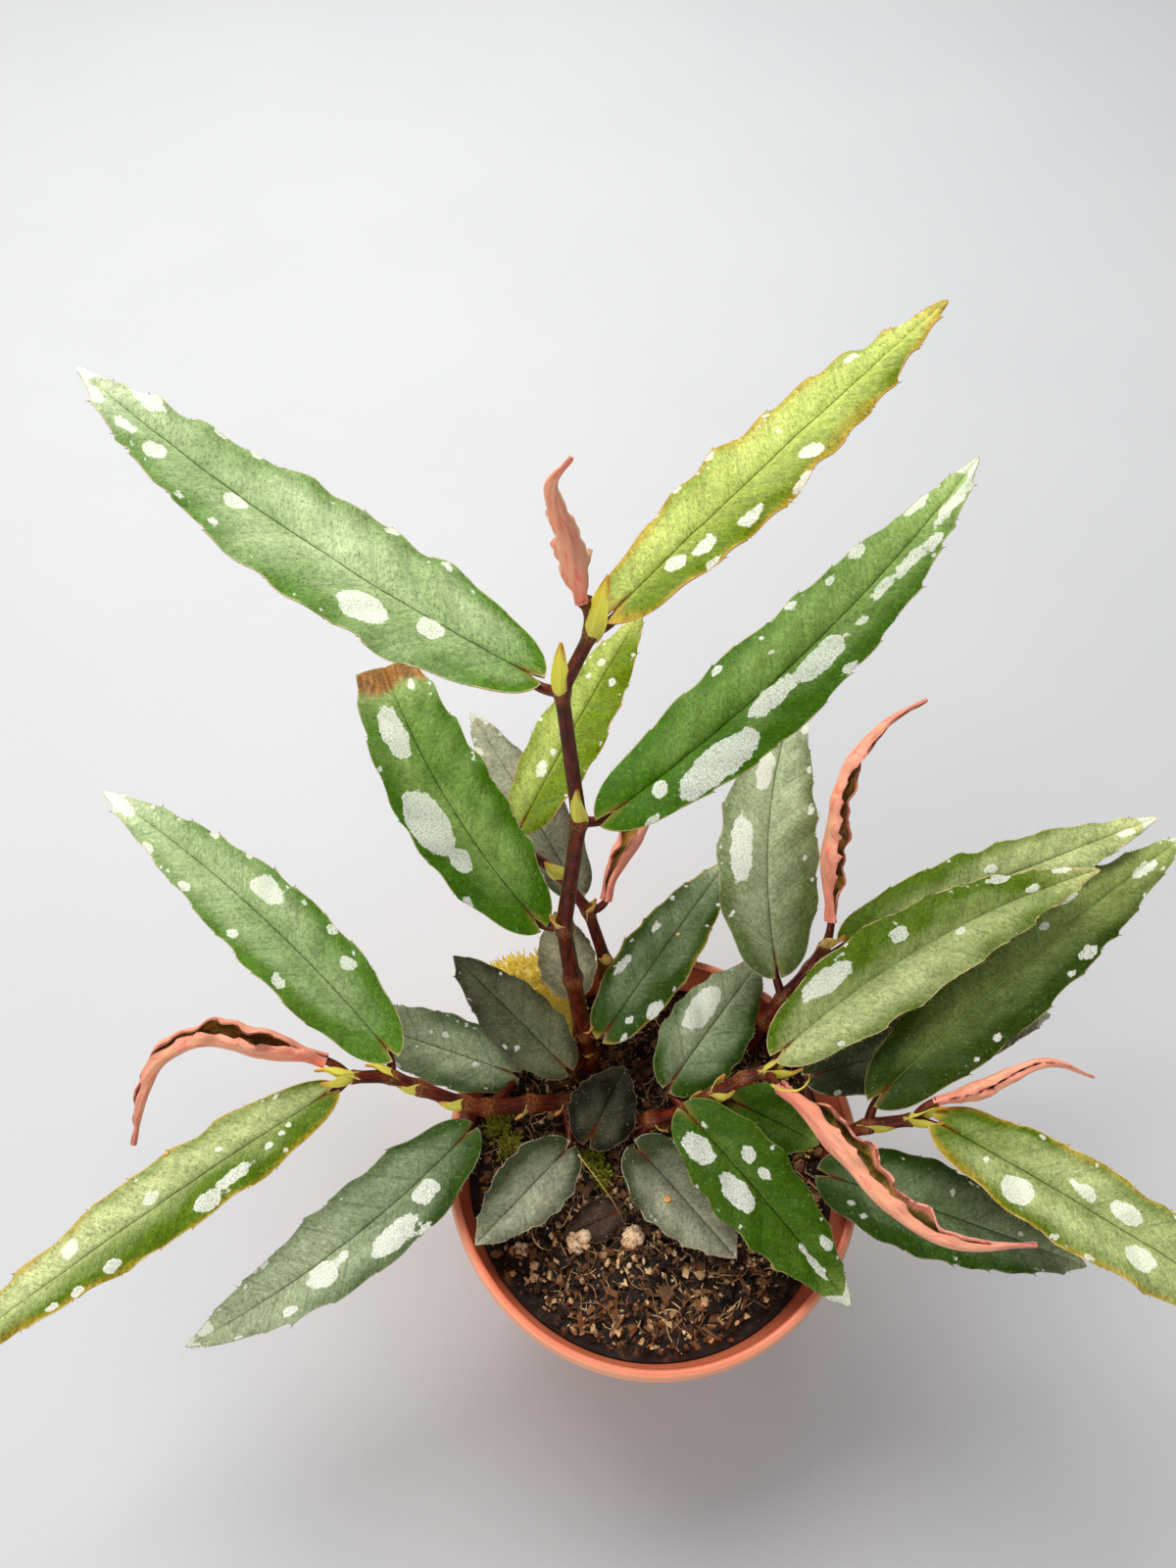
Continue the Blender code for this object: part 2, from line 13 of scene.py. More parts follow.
import bpy
import numpy as np
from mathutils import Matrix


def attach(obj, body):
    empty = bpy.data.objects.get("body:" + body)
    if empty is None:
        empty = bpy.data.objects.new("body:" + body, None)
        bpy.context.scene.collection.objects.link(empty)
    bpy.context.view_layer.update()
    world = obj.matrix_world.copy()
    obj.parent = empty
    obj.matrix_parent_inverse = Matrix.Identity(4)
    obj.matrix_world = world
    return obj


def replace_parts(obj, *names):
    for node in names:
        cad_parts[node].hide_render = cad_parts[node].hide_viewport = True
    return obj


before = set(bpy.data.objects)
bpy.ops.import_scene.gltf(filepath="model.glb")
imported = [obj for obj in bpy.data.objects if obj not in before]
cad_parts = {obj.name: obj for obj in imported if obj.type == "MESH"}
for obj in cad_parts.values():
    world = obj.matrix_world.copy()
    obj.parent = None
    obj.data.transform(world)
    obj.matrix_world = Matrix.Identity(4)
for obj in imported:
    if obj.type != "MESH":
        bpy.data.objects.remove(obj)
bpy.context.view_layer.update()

MM = 0.001
BODY = "root"
LOG = logging.getLogger("begonia")

Colour = tuple[float, float, float]
Point = tuple[float, float, float]
Array = np.ndarray


def srgb(red: int, green: int, blue: int) -> Colour:
    """Turn screen levels from 0 to 255 into a linear colour.

    Args:
        red, green, blue: the levels as a paint chart gives them.

    Returns:
        The colour in the linear values that shader sockets take.
    """
    levels = np.array([red, green, blue]) / 255
    low, high = levels / 12.92, ((levels + 0.055) / 1.055) ** 2.4
    return tuple(float(v) for v in np.where(levels <= 0.04045, low, high))


class Signal:
    """A node's output that takes part in arithmetic: each operator adds one Math node."""

    def __init__(self, tree: bpy.types.NodeTree, socket: bpy.types.NodeSocket) -> None:
        """Keep the tree and the output socket."""
        self.tree = tree
        self.socket = socket

    def maths(self, operation: str, *values: "Signal | float") -> "Signal":
        """Add one Math node.

        Args:
            operation: the node's operation.
            values: its inputs in order, signals or numbers.

        Returns:
            The node's result.
        """
        node = self.tree.nodes.new("ShaderNodeMath")
        node.operation = operation
        for socket, value in zip(node.inputs, values):
            plug(self.tree, socket, value)
        return Signal(self.tree, node.outputs[0])

    def __add__(self, other: "Signal | float") -> "Signal":
        """Sum."""
        return self.maths("ADD", self, other)

    def __radd__(self, other: float) -> "Signal":
        """Sum with a number on the left."""
        return self.maths("ADD", other, self)

    def __sub__(self, other: "Signal | float") -> "Signal":
        """Difference."""
        return self.maths("SUBTRACT", self, other)

    def __rsub__(self, other: float) -> "Signal":
        """Difference from a number on the left, so that 1 - mask works."""
        return self.maths("SUBTRACT", other, self)

    def __mul__(self, other: "Signal | float") -> "Signal":
        """Product."""
        return self.maths("MULTIPLY", self, other)

    def __rmul__(self, other: float) -> "Signal":
        """Product with a number on the left."""
        return self.maths("MULTIPLY", other, self)

    def __truediv__(self, other: "Signal | float") -> "Signal":
        """Quotient."""
        return self.maths("DIVIDE", self, other)

    def __pow__(self, other: "Signal | float") -> "Signal":
        """Power."""
        return self.maths("POWER", self, other)

    def size(self) -> "Signal":
        """Distance from zero."""
        return self.maths("ABSOLUTE", self)

    def part(self) -> "Signal":
        """What is left after the whole number."""
        return self.maths("FRACT", self)

    def most(self, other: "Signal | float") -> "Signal":
        """The larger of two values."""
        return self.maths("MAXIMUM", self, other)

    def rise(self, low: float, high: float) -> "Signal":
        """Climb smoothly from 0 at low to 1 at high, and stay there.

        Args:
            low, high: the values between which the result climbs. Low may be the larger one.

        Returns:
            The smooth step.
        """
        node = self.tree.nodes.new("ShaderNodeMapRange")
        node.interpolation_type = "SMOOTHSTEP"
        if low > high:
            low, high, start, end = high, low, 1.0, 0.0
        else:
            start, end = 0.0, 1.0
        for socket, value in zip(node.inputs, (self, low, high, start, end)):
            plug(self.tree, socket, value)
        return Signal(self.tree, node.outputs[0])


def plug(tree: bpy.types.NodeTree, socket: bpy.types.NodeSocket, value: object) -> None:
    """Link a signal to a socket, or set the socket to a number, colour or vector.

    Args:
        tree: the node tree.
        socket: the input socket.
        value: a signal, or the socket's value.
    """
    if isinstance(value, Signal):
        tree.links.new(value.socket, socket)
    elif socket.type == "RGBA":
        socket.default_value = (*value, 1.0)
    else:
        socket.default_value = value


class Recipe:
    """A material's node tree, with short ways to its textures, attributes and shader."""

    def __init__(self, name: str) -> None:
        """Make the material and find its Principled shader."""
        self.material = bpy.data.materials.new(name)
        self.material.use_nodes = True
        self.tree = self.material.node_tree
        self.shader = self.tree.nodes["Principled BSDF"]

    def node(self, kind: str, settings: dict | None = None, sockets: dict | None = None,
             output: int | str = 0) -> Signal:
        """Add any node.

        Args:
            kind: the node's type.
            settings: its properties, set first.
            sockets: values or signals by the socket's name or number.
            output: which output to return.

        Returns:
            That output.
        """
        made = self.tree.nodes.new(kind)
        for key, value in (settings or {}).items():
            setattr(made, key, value)
        for key, value in (sockets or {}).items():
            plug(self.tree, made.inputs[key], value)
        return Signal(self.tree, made.outputs[output])

    def attribute(self, name: str, output: str = "Fac") -> Signal:
        """Read one of the mesh's own attributes."""
        return self.node("ShaderNodeAttribute", {"attribute_name": name}, output=output)

    def place(self) -> Signal:
        """The point on the piece, in millimetres."""
        where = self.node("ShaderNodeTexCoord", output="Object")
        return self.node("ShaderNodeVectorMath", {"operation": "SCALE"}, {0: where, "Scale": 1 / MM})

    def parts(self, vector: Signal) -> tuple[Signal, Signal, Signal]:
        """Split a vector into its three numbers."""
        split = self.node("ShaderNodeSeparateXYZ", sockets={0: vector})
        outputs = split.socket.node.outputs
        return tuple(Signal(self.tree, outputs[i]) for i in range(3))

    def join(self, x: Signal | float, y: Signal | float, z: Signal | float) -> Signal:
        """Make a vector of three numbers."""
        return self.node("ShaderNodeCombineXYZ", sockets={0: x, 1: y, 2: z})

    def noise(self, where: Signal, scale: float, detail: float = 3.0, roughness: float = 0.55) -> Signal:
        """Cloudy noise about 0.5.

        Args:
            where: the point that it is read at.
            scale: features for each unit of the point.
            detail: octaves.
            roughness: how strong the finer octaves are.

        Returns:
            The noise.
        """
        return self.node("ShaderNodeTexNoise", sockets={"Vector": where, "Scale": scale, "Detail": detail,
                                                         "Roughness": roughness})

    def cells(self, where: Signal, scale: float, feature: str = "F1") -> Signal:
        """Distance to the nearest of scattered points, or to the edge of its cell."""
        return self.node("ShaderNodeTexVoronoi", {"feature": feature}, {"Vector": where, "Scale": scale})

    def mix(self, share: Signal | float, first: Signal | Colour, second: Signal | Colour,
            blend: str = "MIX") -> Signal:
        """Mix two colours.

        Args:
            share: how much of the second, from 0 to 1.
            first, second: the colours.
            blend: the blend type.

        Returns:
            The mixed colour.
        """
        return self.node("ShaderNodeMix", {"data_type": "RGBA", "blend_type": blend},
                         {0: share, 6: first, 7: second}, output=2)

    def brighten(self, colour: Signal, factor: Signal) -> Signal:
        """Multiply a colour by a number."""
        return self.node("ShaderNodeVectorMath", {"operation": "SCALE"}, {0: colour, "Scale": factor})

    def dress(self, bump: Signal | None = None, depth: float = 0.1, strength: float = 1.0,
              **sockets: object) -> bpy.types.Material:
        """Finish the material.

        Args:
            bump: the height that a Bump node shades, from 0 to 1.
            depth: how deep that height is, in millimetres.
            strength: how strongly it shades.
            sockets: the shader's sockets, with underscores for spaces.

        Returns:
            The material.
        """
        for key, value in sockets.items():
            plug(self.tree, self.shader.inputs[key.replace("_", " ")], value)
        if bump is not None:
            normal = self.node("ShaderNodeBump", sockets={"Strength": strength, "Distance": depth * MM,
                                                          "Height": bump})
            plug(self.tree, self.shader.inputs["Normal"], normal)
        return self.material


@dataclass(frozen=True)
class BladeFinish:
    """Finish of an open leaf: silky pigment with painted sheen on its brightest streaks, dark pores,
    a midrib, silver spots and a thin rim.

    The blade attribute is (along + shift, across, upper side) and run is (along, share, edge), in
    millimetres apart from the share of the length and the side.
    """
    name: str
    roughness: float = 0.5
    sheen: float = 0.0
    silver: Colour = srgb(246, 246, 236)
    pores: float = 0.7
    veins: float = 0.2
    vein_spacing: float = 7.5
    pale_midrib: float = 0.0
    base_glow: float = 0.3
    flecks: float = 0.4

    def build(self) -> bpy.types.Material:
        """Make the material of the leaves that share this finish."""
        recipe = Recipe(self.name)
        blade = recipe.attribute("blade", "Vector")
        place_along, across, upper = recipe.parts(blade)
        along, share, edge = recipe.parts(recipe.attribute("run", "Vector"))
        pigment = recipe.attribute("pigment", "Color")
        away = across.size()
        grain = recipe.noise(blade, 1.5, detail=4, roughness=0.7)
        fine = recipe.noise(blade, 4.5, detail=3, roughness=0.7)
        strand = place_along - away * 0.85
        silk = recipe.noise(recipe.join(strand * 2.4, (place_along * 0.85 + away) * 0.4, upper), 1.0,
                            detail=4, roughness=0.65)

        body = recipe.brighten(pigment, (grain - 0.5) * 1.7 + (fine - 0.5) * 1.3 + (silk - 0.5) * 1.1 + 1.02)
        # Painted sheen: the brightest silky streaks lightened as a highlight.
        body = recipe.mix(silk.rise(0.53, 0.74) * 0.35, body, recipe.brighten(pigment, 1.7))
        fleck = recipe.cells(blade, 2.4).rise(0.24, 0.1) * grain.rise(0.5, 0.6)
        body = recipe.mix(fleck * self.flecks, body, self.silver)
        dark = recipe.brighten(pigment, grain * 0.3 + 0.1)
        pore = recipe.cells(blade, 1.5).rise(0.3, 0.12) * fine.rise(0.4, 0.54)
        body = recipe.mix(pore * self.pores, body, dark)
        body = recipe.mix(fine.rise(0.56, 0.7) * 0.35, body, dark)

        slant = (along - away * 0.95) / self.vein_spacing
        lateral = ((slant.part() - 0.5).size() * self.vein_spacing).rise(0.6, 0.1) * away.rise(0.2, 1.2)
        body = recipe.mix(lateral * self.veins, body, dark)
        midrib = (away + (grain - 0.5) * 0.16).rise(0.22, 0.08)
        line = recipe.mix(self.pale_midrib, dark, srgb(150, 180, 120))
        body = recipe.mix(midrib * share.rise(1.0, 0.75) * 0.65, body, line)
        glow = (along + away * 1.5 + (grain - 0.5) * 2.6).rise(3.4, 0.4)
        body = recipe.mix(glow * self.base_glow, body, srgb(176, 152, 62))
        mark = (away - (grain - 0.5) * 1.0).rise(0.6, 0.2) * (along + away * 1.6).rise(4.4, 1.4)
        body = recipe.mix(mark * 0.8, body, srgb(110, 40, 24))

        lobes = recipe.noise(blade, 0.6, detail=2, roughness=0.5)
        outline = recipe.attribute("spot") + (lobes - 0.5) * 1.4 + (fine - 0.5) * 0.5 + 0.08
        silver = outline.rise(0.08, -0.08)
        net = recipe.cells(blade, 1.7, "DISTANCE_TO_EDGE")
        pitted = net.rise(0.12, 0.02) * 0.4 + fine.rise(0.52, 0.64) * 0.3
        frost = recipe.mix(0.2, self.silver, recipe.brighten(pigment, 1.7))
        body = recipe.mix(silver, body, recipe.mix(pitted, frost, pigment))
        patchy = recipe.noise(blade, 0.35).rise(0.34, 0.56)
        rim = (edge + (lobes - 0.5) * 0.3).rise(0.27, 0.1) * patchy
        body = recipe.mix(rim * 0.75, body, recipe.attribute("rim", "Color"))

        back = recipe.mix(0.55, recipe.brighten(pigment, grain * 0.4 + 0.75), srgb(150, 112, 84))
        back = recipe.mix((lateral * 0.6).most(midrib), back, srgb(140, 66, 52))
        colour = recipe.mix(upper, back, body)
        height = grain * 0.3 + silk * 0.5 + fine * 0.3 + silver * 0.3 - pore * 0.3 - midrib * 0.3
        return recipe.dress(height, depth=0.2, strength=0.6, Base_Color=colour,
                            Roughness=(grain - 0.5) * 0.3 + silver * 0.08 + self.roughness,
                            Sheen_Weight=self.sheen, Sheen_Roughness=0.35,
                            Sheen_Tint=srgb(240, 250, 236), Specular_IOR_Level=0.14)


@dataclass(frozen=True)
class YoungFinish:
    """Finish of a rolled leaf: coral outside with redder veins and painted highlight flecks, and olive
    within.
    """
    name: str = "young_leaf_skin"
    coral: Colour = srgb(255, 172, 136)
    blush: Colour = srgb(252, 92, 84)
    olive: Colour = srgb(96, 84, 4)
    straw: Colour = srgb(248, 174, 88)

    def build(self) -> bpy.types.Material:
        """Make the material of the rolled leaves."""
        recipe = Recipe(self.name)
        blade = recipe.attribute("blade", "Vector")
        _, across, inner = recipe.parts(blade)
        along, share, edge = recipe.parts(recipe.attribute("run", "Vector"))
        broad = recipe.noise(blade, 0.35)
        grain = recipe.noise(blade, 2.2, detail=4, roughness=0.7)
        streaks = recipe.noise(recipe.join(along * 0.25, across * 1.6, inner), 1.0, detail=4)
        outside = recipe.mix(broad.rise(0.5, 0.72) * 0.3, self.coral, self.straw)
        outside = recipe.mix(streaks.rise(0.5, 0.66) * 0.65, outside, self.blush)
        outside = recipe.mix(share.rise(0.3, 0.0) * 0.5, outside, self.blush)
        outside = recipe.mix(share.rise(0.8, 1.0) * 0.6, outside, srgb(214, 70, 60))
        # Painted highlight: pale flecks on the outside.
        outside = recipe.mix(grain.rise(0.52, 0.64) * 0.3, outside, srgb(255, 222, 196))
        inside = recipe.mix(broad.rise(0.44, 0.62) * 0.7, self.olive, srgb(206, 156, 66))
        inside = recipe.mix(streaks.rise(0.5, 0.7) * 0.6, inside, srgb(74, 50, 12))
        colour = recipe.mix(inner, outside, inside)
        lip = (edge + (grain - 0.5) * 0.8).rise(0.75, 0.2)
        colour = recipe.mix(lip * 0.8, colour, srgb(255, 158, 134))
        singed = (edge + (grain - 0.5) * 0.4).rise(0.22, 0.06) * broad.rise(0.46, 0.58)
        colour = recipe.mix(singed * 0.8, colour, srgb(120, 40, 24))
        height = grain * 0.4 + streaks * 0.8
        return recipe.dress(height, depth=0.18, strength=0.6, Base_Color=colour,
                            Roughness=grain * 0.25 + 0.34, Sheen_Weight=0.3, Sheen_Roughness=0.4,
                            Subsurface_Weight=0.25, Subsurface_Radius=(1.0, 0.5, 0.38),
                            Subsurface_Scale=0.0015, Specular_IOR_Level=0.4)


@dataclass(frozen=True)
class CaneFinish:
    """Finish of the canes and stalks: red-brown skin, streaked lengthwise, with pale specks."""
    name: str = "cane_skin"
    skin: Colour = srgb(112, 34, 14)
    shade: Colour = srgb(56, 10, 2)
    scar: Colour = srgb(196, 132, 66)

    def build(self) -> bpy.types.Material:
        """Make the material of the canes."""
        recipe = Recipe(self.name)
        around, along, joint = recipe.parts(recipe.attribute("bark", "Vector"))
        place = recipe.place()
        streak = recipe.noise(recipe.join(around * 1.6, along * 0.22, 0.0), 1.0, detail=5, roughness=0.65)
        broad = recipe.noise(place, 0.3)
        grain = recipe.noise(place, 2.6, detail=4, roughness=0.7)
        specks = recipe.cells(recipe.join(around, along * 0.55, 3.0), 1.1).rise(0.17, 0.08)
        colour = recipe.mix(streak.rise(0.38, 0.64), self.shade, self.skin)
        colour = recipe.mix(broad.rise(0.5, 0.75) * 0.25, colour, srgb(140, 62, 26))
        colour = recipe.mix(specks * 0.3, colour, srgb(196, 140, 90))
        colour = recipe.mix(joint * grain.rise(0.4, 0.65) * 0.6, colour, self.scar)
        height = streak * 0.7 + specks * 0.5 + grain * 0.25
        return recipe.dress(height, depth=0.14, strength=0.6, Base_Color=colour,
                            Roughness=grain * 0.25 + 0.26, Specular_IOR_Level=0.32)


@dataclass(frozen=True)
class ScaleFinish:
    """Finish of the stipules: yellow papery scales that wither to cream and brown."""
    name: str = "stipule_paper"
    fresh: Colour = srgb(255, 240, 96)
    green: Colour = srgb(246, 222, 52)
    dry: Colour = srgb(250, 216, 140)
    tip: Colour = srgb(214, 124, 44)

    def build(self) -> bpy.types.Material:
        """Make the material of the stipules."""
        recipe = Recipe(self.name)
        along, across, withered = recipe.parts(recipe.attribute("scale", "Vector"))
        place = recipe.place()
        lines = recipe.noise(recipe.join(across * 5.0, along * 0.5, withered), 1.0, detail=4)
        grain = recipe.noise(place, 2.4, detail=4, roughness=0.7)
        colour = recipe.mix(lines.rise(0.4, 0.65), self.fresh, self.green)
        colour = recipe.mix(withered * 0.9, colour, recipe.mix(grain.rise(0.4, 0.6), self.dry, self.tip))
        worn = (along + across.size() * 0.25 + (grain - 0.5) * 0.4).rise(0.85, 1.1)
        colour = recipe.mix(worn, colour, self.tip)
        return recipe.dress(lines * 0.8 + grain * 0.3, depth=0.12, strength=0.6, Base_Color=colour,
                            Roughness=grain * 0.25 + 0.42, Subsurface_Weight=0.5,
                            Subsurface_Radius=(1.0, 0.85, 0.35), Subsurface_Scale=0.002)


@dataclass(frozen=True)
class PotFinish:
    """Finish of the pot: moulded orange plastic, scuffed outside and soiled inside, with a painted highlight
    along the lip's top and painted shade over the inside wall.
    """
    name: str = "pot_plastic"
    plastic: Colour = srgb(232, 120, 82)
    # Pale worn plastic for the scuffs, and a painted highlight along the lip's top.
    worn: Colour = srgb(254, 196, 158)
    # Darker plastic for the moulding rings, and painted shade over the inside wall.
    shade: Colour = srgb(150, 50, 34)
    dirt: Colour = srgb(44, 26, 18)

    def build(self) -> bpy.types.Material:
        """Make the material of the pot."""
        recipe = Recipe(self.name)
        place = recipe.place()
        x, y, height = recipe.parts(place)
        radius = (x * x + y * y) ** 0.5
        inside = (radius - height * 0.165).rise(26.75, 26.35) * height.rise(1.0, 1.4)
        broad = recipe.noise(place, 0.09, detail=4)
        grain = recipe.noise(place, 1.8, detail=5, roughness=0.7)
        rings = recipe.noise(recipe.join(radius * 0.1, height * 2.2, broad * 2.0), 1.0, detail=3)
        colour = recipe.mix(broad.rise(0.35, 0.7) * 0.16, self.plastic, self.worn)
        # Painted highlight: the lip's top lightened to the worn colour.
        lip_highlight = (radius + (grain - 0.5) * 0.5).rise(38.6, 39.6) * height.rise(64.5, 66.0)
        colour = recipe.mix(lip_highlight * 0.55, colour, self.worn)
        colour = recipe.mix(rings.rise(0.5, 0.75) * 0.16, colour, self.shade)
        dust = recipe.cells(place, 0.8).rise(0.14, 0.05) * recipe.noise(place, 0.4).rise(0.45, 0.6)
        colour = recipe.mix(dust * 0.4, colour, srgb(238, 214, 190))
        # Painted shade: the inside wall darkened towards the darker plastic.
        colour = recipe.mix(inside * 0.75, colour, self.shade)
        soiled = (grain + broad * 0.5 - (height - 58.0) * 0.055).rise(0.5, 0.85) * inside
        colour = recipe.mix(soiled * 0.9, colour, self.dirt)
        splash = recipe.cells(place, 0.35).rise(0.2, 0.08) * recipe.noise(place, 0.15).rise(0.5, 0.65)
        colour = recipe.mix(splash * (1 - inside) * 0.3, colour, self.dirt)
        bump = grain * 0.4 + rings * 0.5 + soiled * 0.6
        return recipe.dress(bump, depth=0.1, strength=0.45, Base_Color=colour,
                            Roughness=grain * 0.3 + soiled * 0.3 + 0.26, Subsurface_Weight=0.08,
                            Subsurface_Radius=(1.0, 0.4, 0.25), Subsurface_Scale=0.002)


@dataclass(frozen=True)
class PeatFinish:
    """Finish of peat, crumbs, fibres and chips: dark to tan by the tone attribute."""
    name: str = "peat"
    black: Colour = srgb(26, 15, 8)
    brown: Colour = srgb(136, 90, 54)
    tan: Colour = srgb(246, 204, 146)

    def build(self) -> bpy.types.Material:
        """Make the material of the potting mix."""
        recipe = Recipe(self.name)
        place = recipe.place()
        tone = recipe.attribute("tone")
        broad = recipe.noise(place, 0.35)
        grain = recipe.noise(place, 2.4, detail=5, roughness=0.75)
        level = tone + (grain - 0.5) * 0.55 + (broad - 0.5) * 0.35
        colour = recipe.mix(level.rise(0.15, 0.55), self.black, self.brown)
        colour = recipe.mix(level.rise(0.6, 1.0), colour, self.tan)
        return recipe.dress(grain + broad * 0.4, depth=0.3, strength=0.8, Base_Color=colour,
                            Roughness=grain * 0.3 + 0.5, Specular_IOR_Level=0.4)


@dataclass(frozen=True)
class GrainFinish:
    """Finish of the perlite: cream-white foam with grey pores and some peat rubbed in."""
    name: str = "perlite"
    white: Colour = srgb(246, 216, 176)
    pore: Colour = srgb(120, 84, 52)

    def build(self) -> bpy.types.Material:
        """Make the material of the perlite."""
        recipe = Recipe(self.name)
        place = recipe.place()
        pores = recipe.cells(place, 1.6)
        broad = recipe.noise(place, 0.8, detail=5, roughness=0.7)
        colour = recipe.mix(recipe.attribute("tone").rise(0.35, 0.9), self.white, srgb(236, 196, 148))
        colour = recipe.mix(pores.rise(0.34, 0.1) * 0.8, colour, self.pore)
        colour = recipe.mix(broad.rise(0.5, 0.64) * 0.7, colour, srgb(96, 62, 38))
        return recipe.dress(pores.rise(0.0, 0.4) + broad * 0.4, depth=0.3, strength=0.7,
                            Base_Color=colour, Roughness=broad * 0.2 + 0.7)


@dataclass(frozen=True)
class MossFinish:
    """Finish of the moss: green leaflets that yellow by the tone attribute, with a faint painted glow that
    grows with the tone.
    """
    name: str = "moss"
    green: Colour = srgb(150, 164, 36)
    yellow: Colour = srgb(255, 236, 128)

    def build(self) -> bpy.types.Material:
        """Make the material of the moss."""
        recipe = Recipe(self.name)
        tone = recipe.attribute("tone")
        grain = recipe.noise(recipe.place(), 1.4, detail=4, roughness=0.7)
        colour = recipe.mix((tone + (grain - 0.5) * 0.5).rise(0.1, 0.9), self.green, self.yellow)
        colour = recipe.brighten(colour, grain * 0.9 + 0.62)
        return recipe.dress(grain, depth=0.1, strength=0.4, Base_Color=colour,
                            # Painted light: a faint glow, stronger where the moss is yellower, though moss is
                            # no lamp.
                            Emission_Color=recipe.brighten(colour, tone), Emission_Strength=0.035,
                            Roughness=grain * 0.2 + 0.5)


@dataclass(frozen=True)
class FloorFinish:
    """Finish of the studio floor: pale matt board with the faintest grain."""
    name: str = "floor_board"
    pale: Colour = srgb(210, 211, 213)
    grey: Colour = srgb(198, 199, 202)

    def build(self) -> bpy.types.Material:
        """Make the material of the floor."""
        recipe = Recipe(self.name)
        place = recipe.place()
        grain = recipe.noise(place, 0.8, detail=4, roughness=0.7)
        cloud = recipe.noise(place, 0.01)
        colour = recipe.mix(cloud * 0.6 + grain * 0.4, self.pale, self.grey)
        return recipe.dress(grain, depth=0.05, strength=0.2, Base_Color=colour,
                            Roughness=grain * 0.1 + 0.6)


@dataclass
class Patch:
    """Points in millimetres, faces as point numbers, and named values at the points.

    Faces are rows of four, and a triangle's fourth number is -1.
    """
    points: Array
    faces: Array
    values: dict[str, Array] = field(default_factory=dict)


KINDS = {1: ("FLOAT", "value"), 3: ("FLOAT_VECTOR", "vector"), 4: ("FLOAT_COLOR", "color")}


def joined(patches: list[Patch]) -> Patch:
    """Put patches with the same named values into one."""
    starts = np.cumsum([0] + [len(p.points) for p in patches[:-1]])
    faces = [np.where(p.faces < 0, -1, p.faces + start) for p, start in zip(patches, starts)]
    values = {key: np.concatenate([p.values[key] for p in patches]) for key in patches[0].values}
    return Patch(np.concatenate([p.points for p in patches]), np.concatenate(faces), values)


def make_piece(name: str, patch: Patch, material: bpy.types.Material,
               sharp: float = 40.0) -> bpy.types.Object:
    """Write a patch into a mesh object that rides on the body.

    Args:
        name: the piece's name.
        patch: its points, faces and values.
        material: its finish.
        sharp: edges that turn by more degrees than this stay sharp.

    Returns:
        The object.
    """
    mesh = bpy.data.meshes.new(name)
    mesh.vertices.add(len(patch.points))
    mesh.vertices.foreach_set("co", (patch.points * MM).astype(np.float32).ravel())
    used = patch.faces >= 0
    sizes = used.sum(1)
    mesh.loops.add(int(sizes.sum()))
    mesh.loops.foreach_set("vertex_index", patch.faces[used].astype(np.int32))
    mesh.polygons.add(len(sizes))
    mesh.polygons.foreach_set("loop_start", (np.cumsum(sizes) - sizes).astype(np.int32))
    mesh.update(calc_edges=True)
    for key, data in patch.values.items():
        width = 1 if data.ndim == 1 else data.shape[1]
        kind, word = KINDS[width]
        mesh.attributes.new(key, kind, "POINT").data.foreach_set(word, data.astype(np.float32).ravel())
    mesh.shade_smooth()
    mesh.set_sharp_from_angle(angle=math.radians(sharp))
    mesh.materials.append(material)
    piece = bpy.data.objects.new(name, mesh)
    bpy.context.scene.collection.objects.link(piece)
    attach(piece, BODY)
    LOG.info("%s: %d points, %d faces", name, len(patch.points), len(sizes))
    return piece


def grid_faces(rows: int, columns: int, wrap: bool = False) -> Array:
    """Quads of a grid of points, numbered along its rows.

    Args:
        rows, columns: how many points each way.
        wrap: whether the last column joins the first.

    Returns:
        The faces. They face the side from which the rows run up and the columns run right.
    """
    i, j = np.meshgrid(np.arange(rows - 1), np.arange(columns if wrap else columns - 1), indexing="ij")
    k = (j + 1) % columns
    return np.stack([i * columns + j, i * columns + k, (i + 1) * columns + k, (i + 1) * columns + j],
                    -1).reshape(-1, 4)


def sheet_faces(rows: int, columns: int) -> Array:
    """Faces of a closed sheet: an upper grid, the same grid below it, and the rim between them."""
    upper = grid_faces(rows, columns)
    under = rows * columns
    loop = np.concatenate([np.arange(columns), np.arange(1, rows) * columns + columns - 1,
                           (rows - 1) * columns + np.arange(columns - 2, -1, -1),
                           np.arange(rows - 2, 0, -1) * columns])
    following = np.roll(loop, -1)
    rim = np.stack([following, loop, loop + under, following + under], -1)
    return np.concatenate([upper, upper[:, ::-1] + under, rim])


def tube_faces(rows: int, columns: int) -> Array:
    """Faces of a closed tube whose points are rings, then the middle of its first and last cap."""
    sides = grid_faces(rows, columns, wrap=True)
    j = np.arange(columns)
    k = (j + 1) % columns
    none = np.full(columns, -1)
    first = np.stack([np.full(columns, rows * columns), k, j, none], -1)
    top = (rows - 1) * columns
    last = np.stack([np.full(columns, rows * columns + 1), top + j, top + k, none], -1)
    return np.concatenate([sides, first, last])


def unit(vectors: Array) -> Array:
    """Vectors of length one along the last axis."""
    return vectors / np.maximum(np.linalg.norm(vectors, axis=-1, keepdims=True), 1e-9)


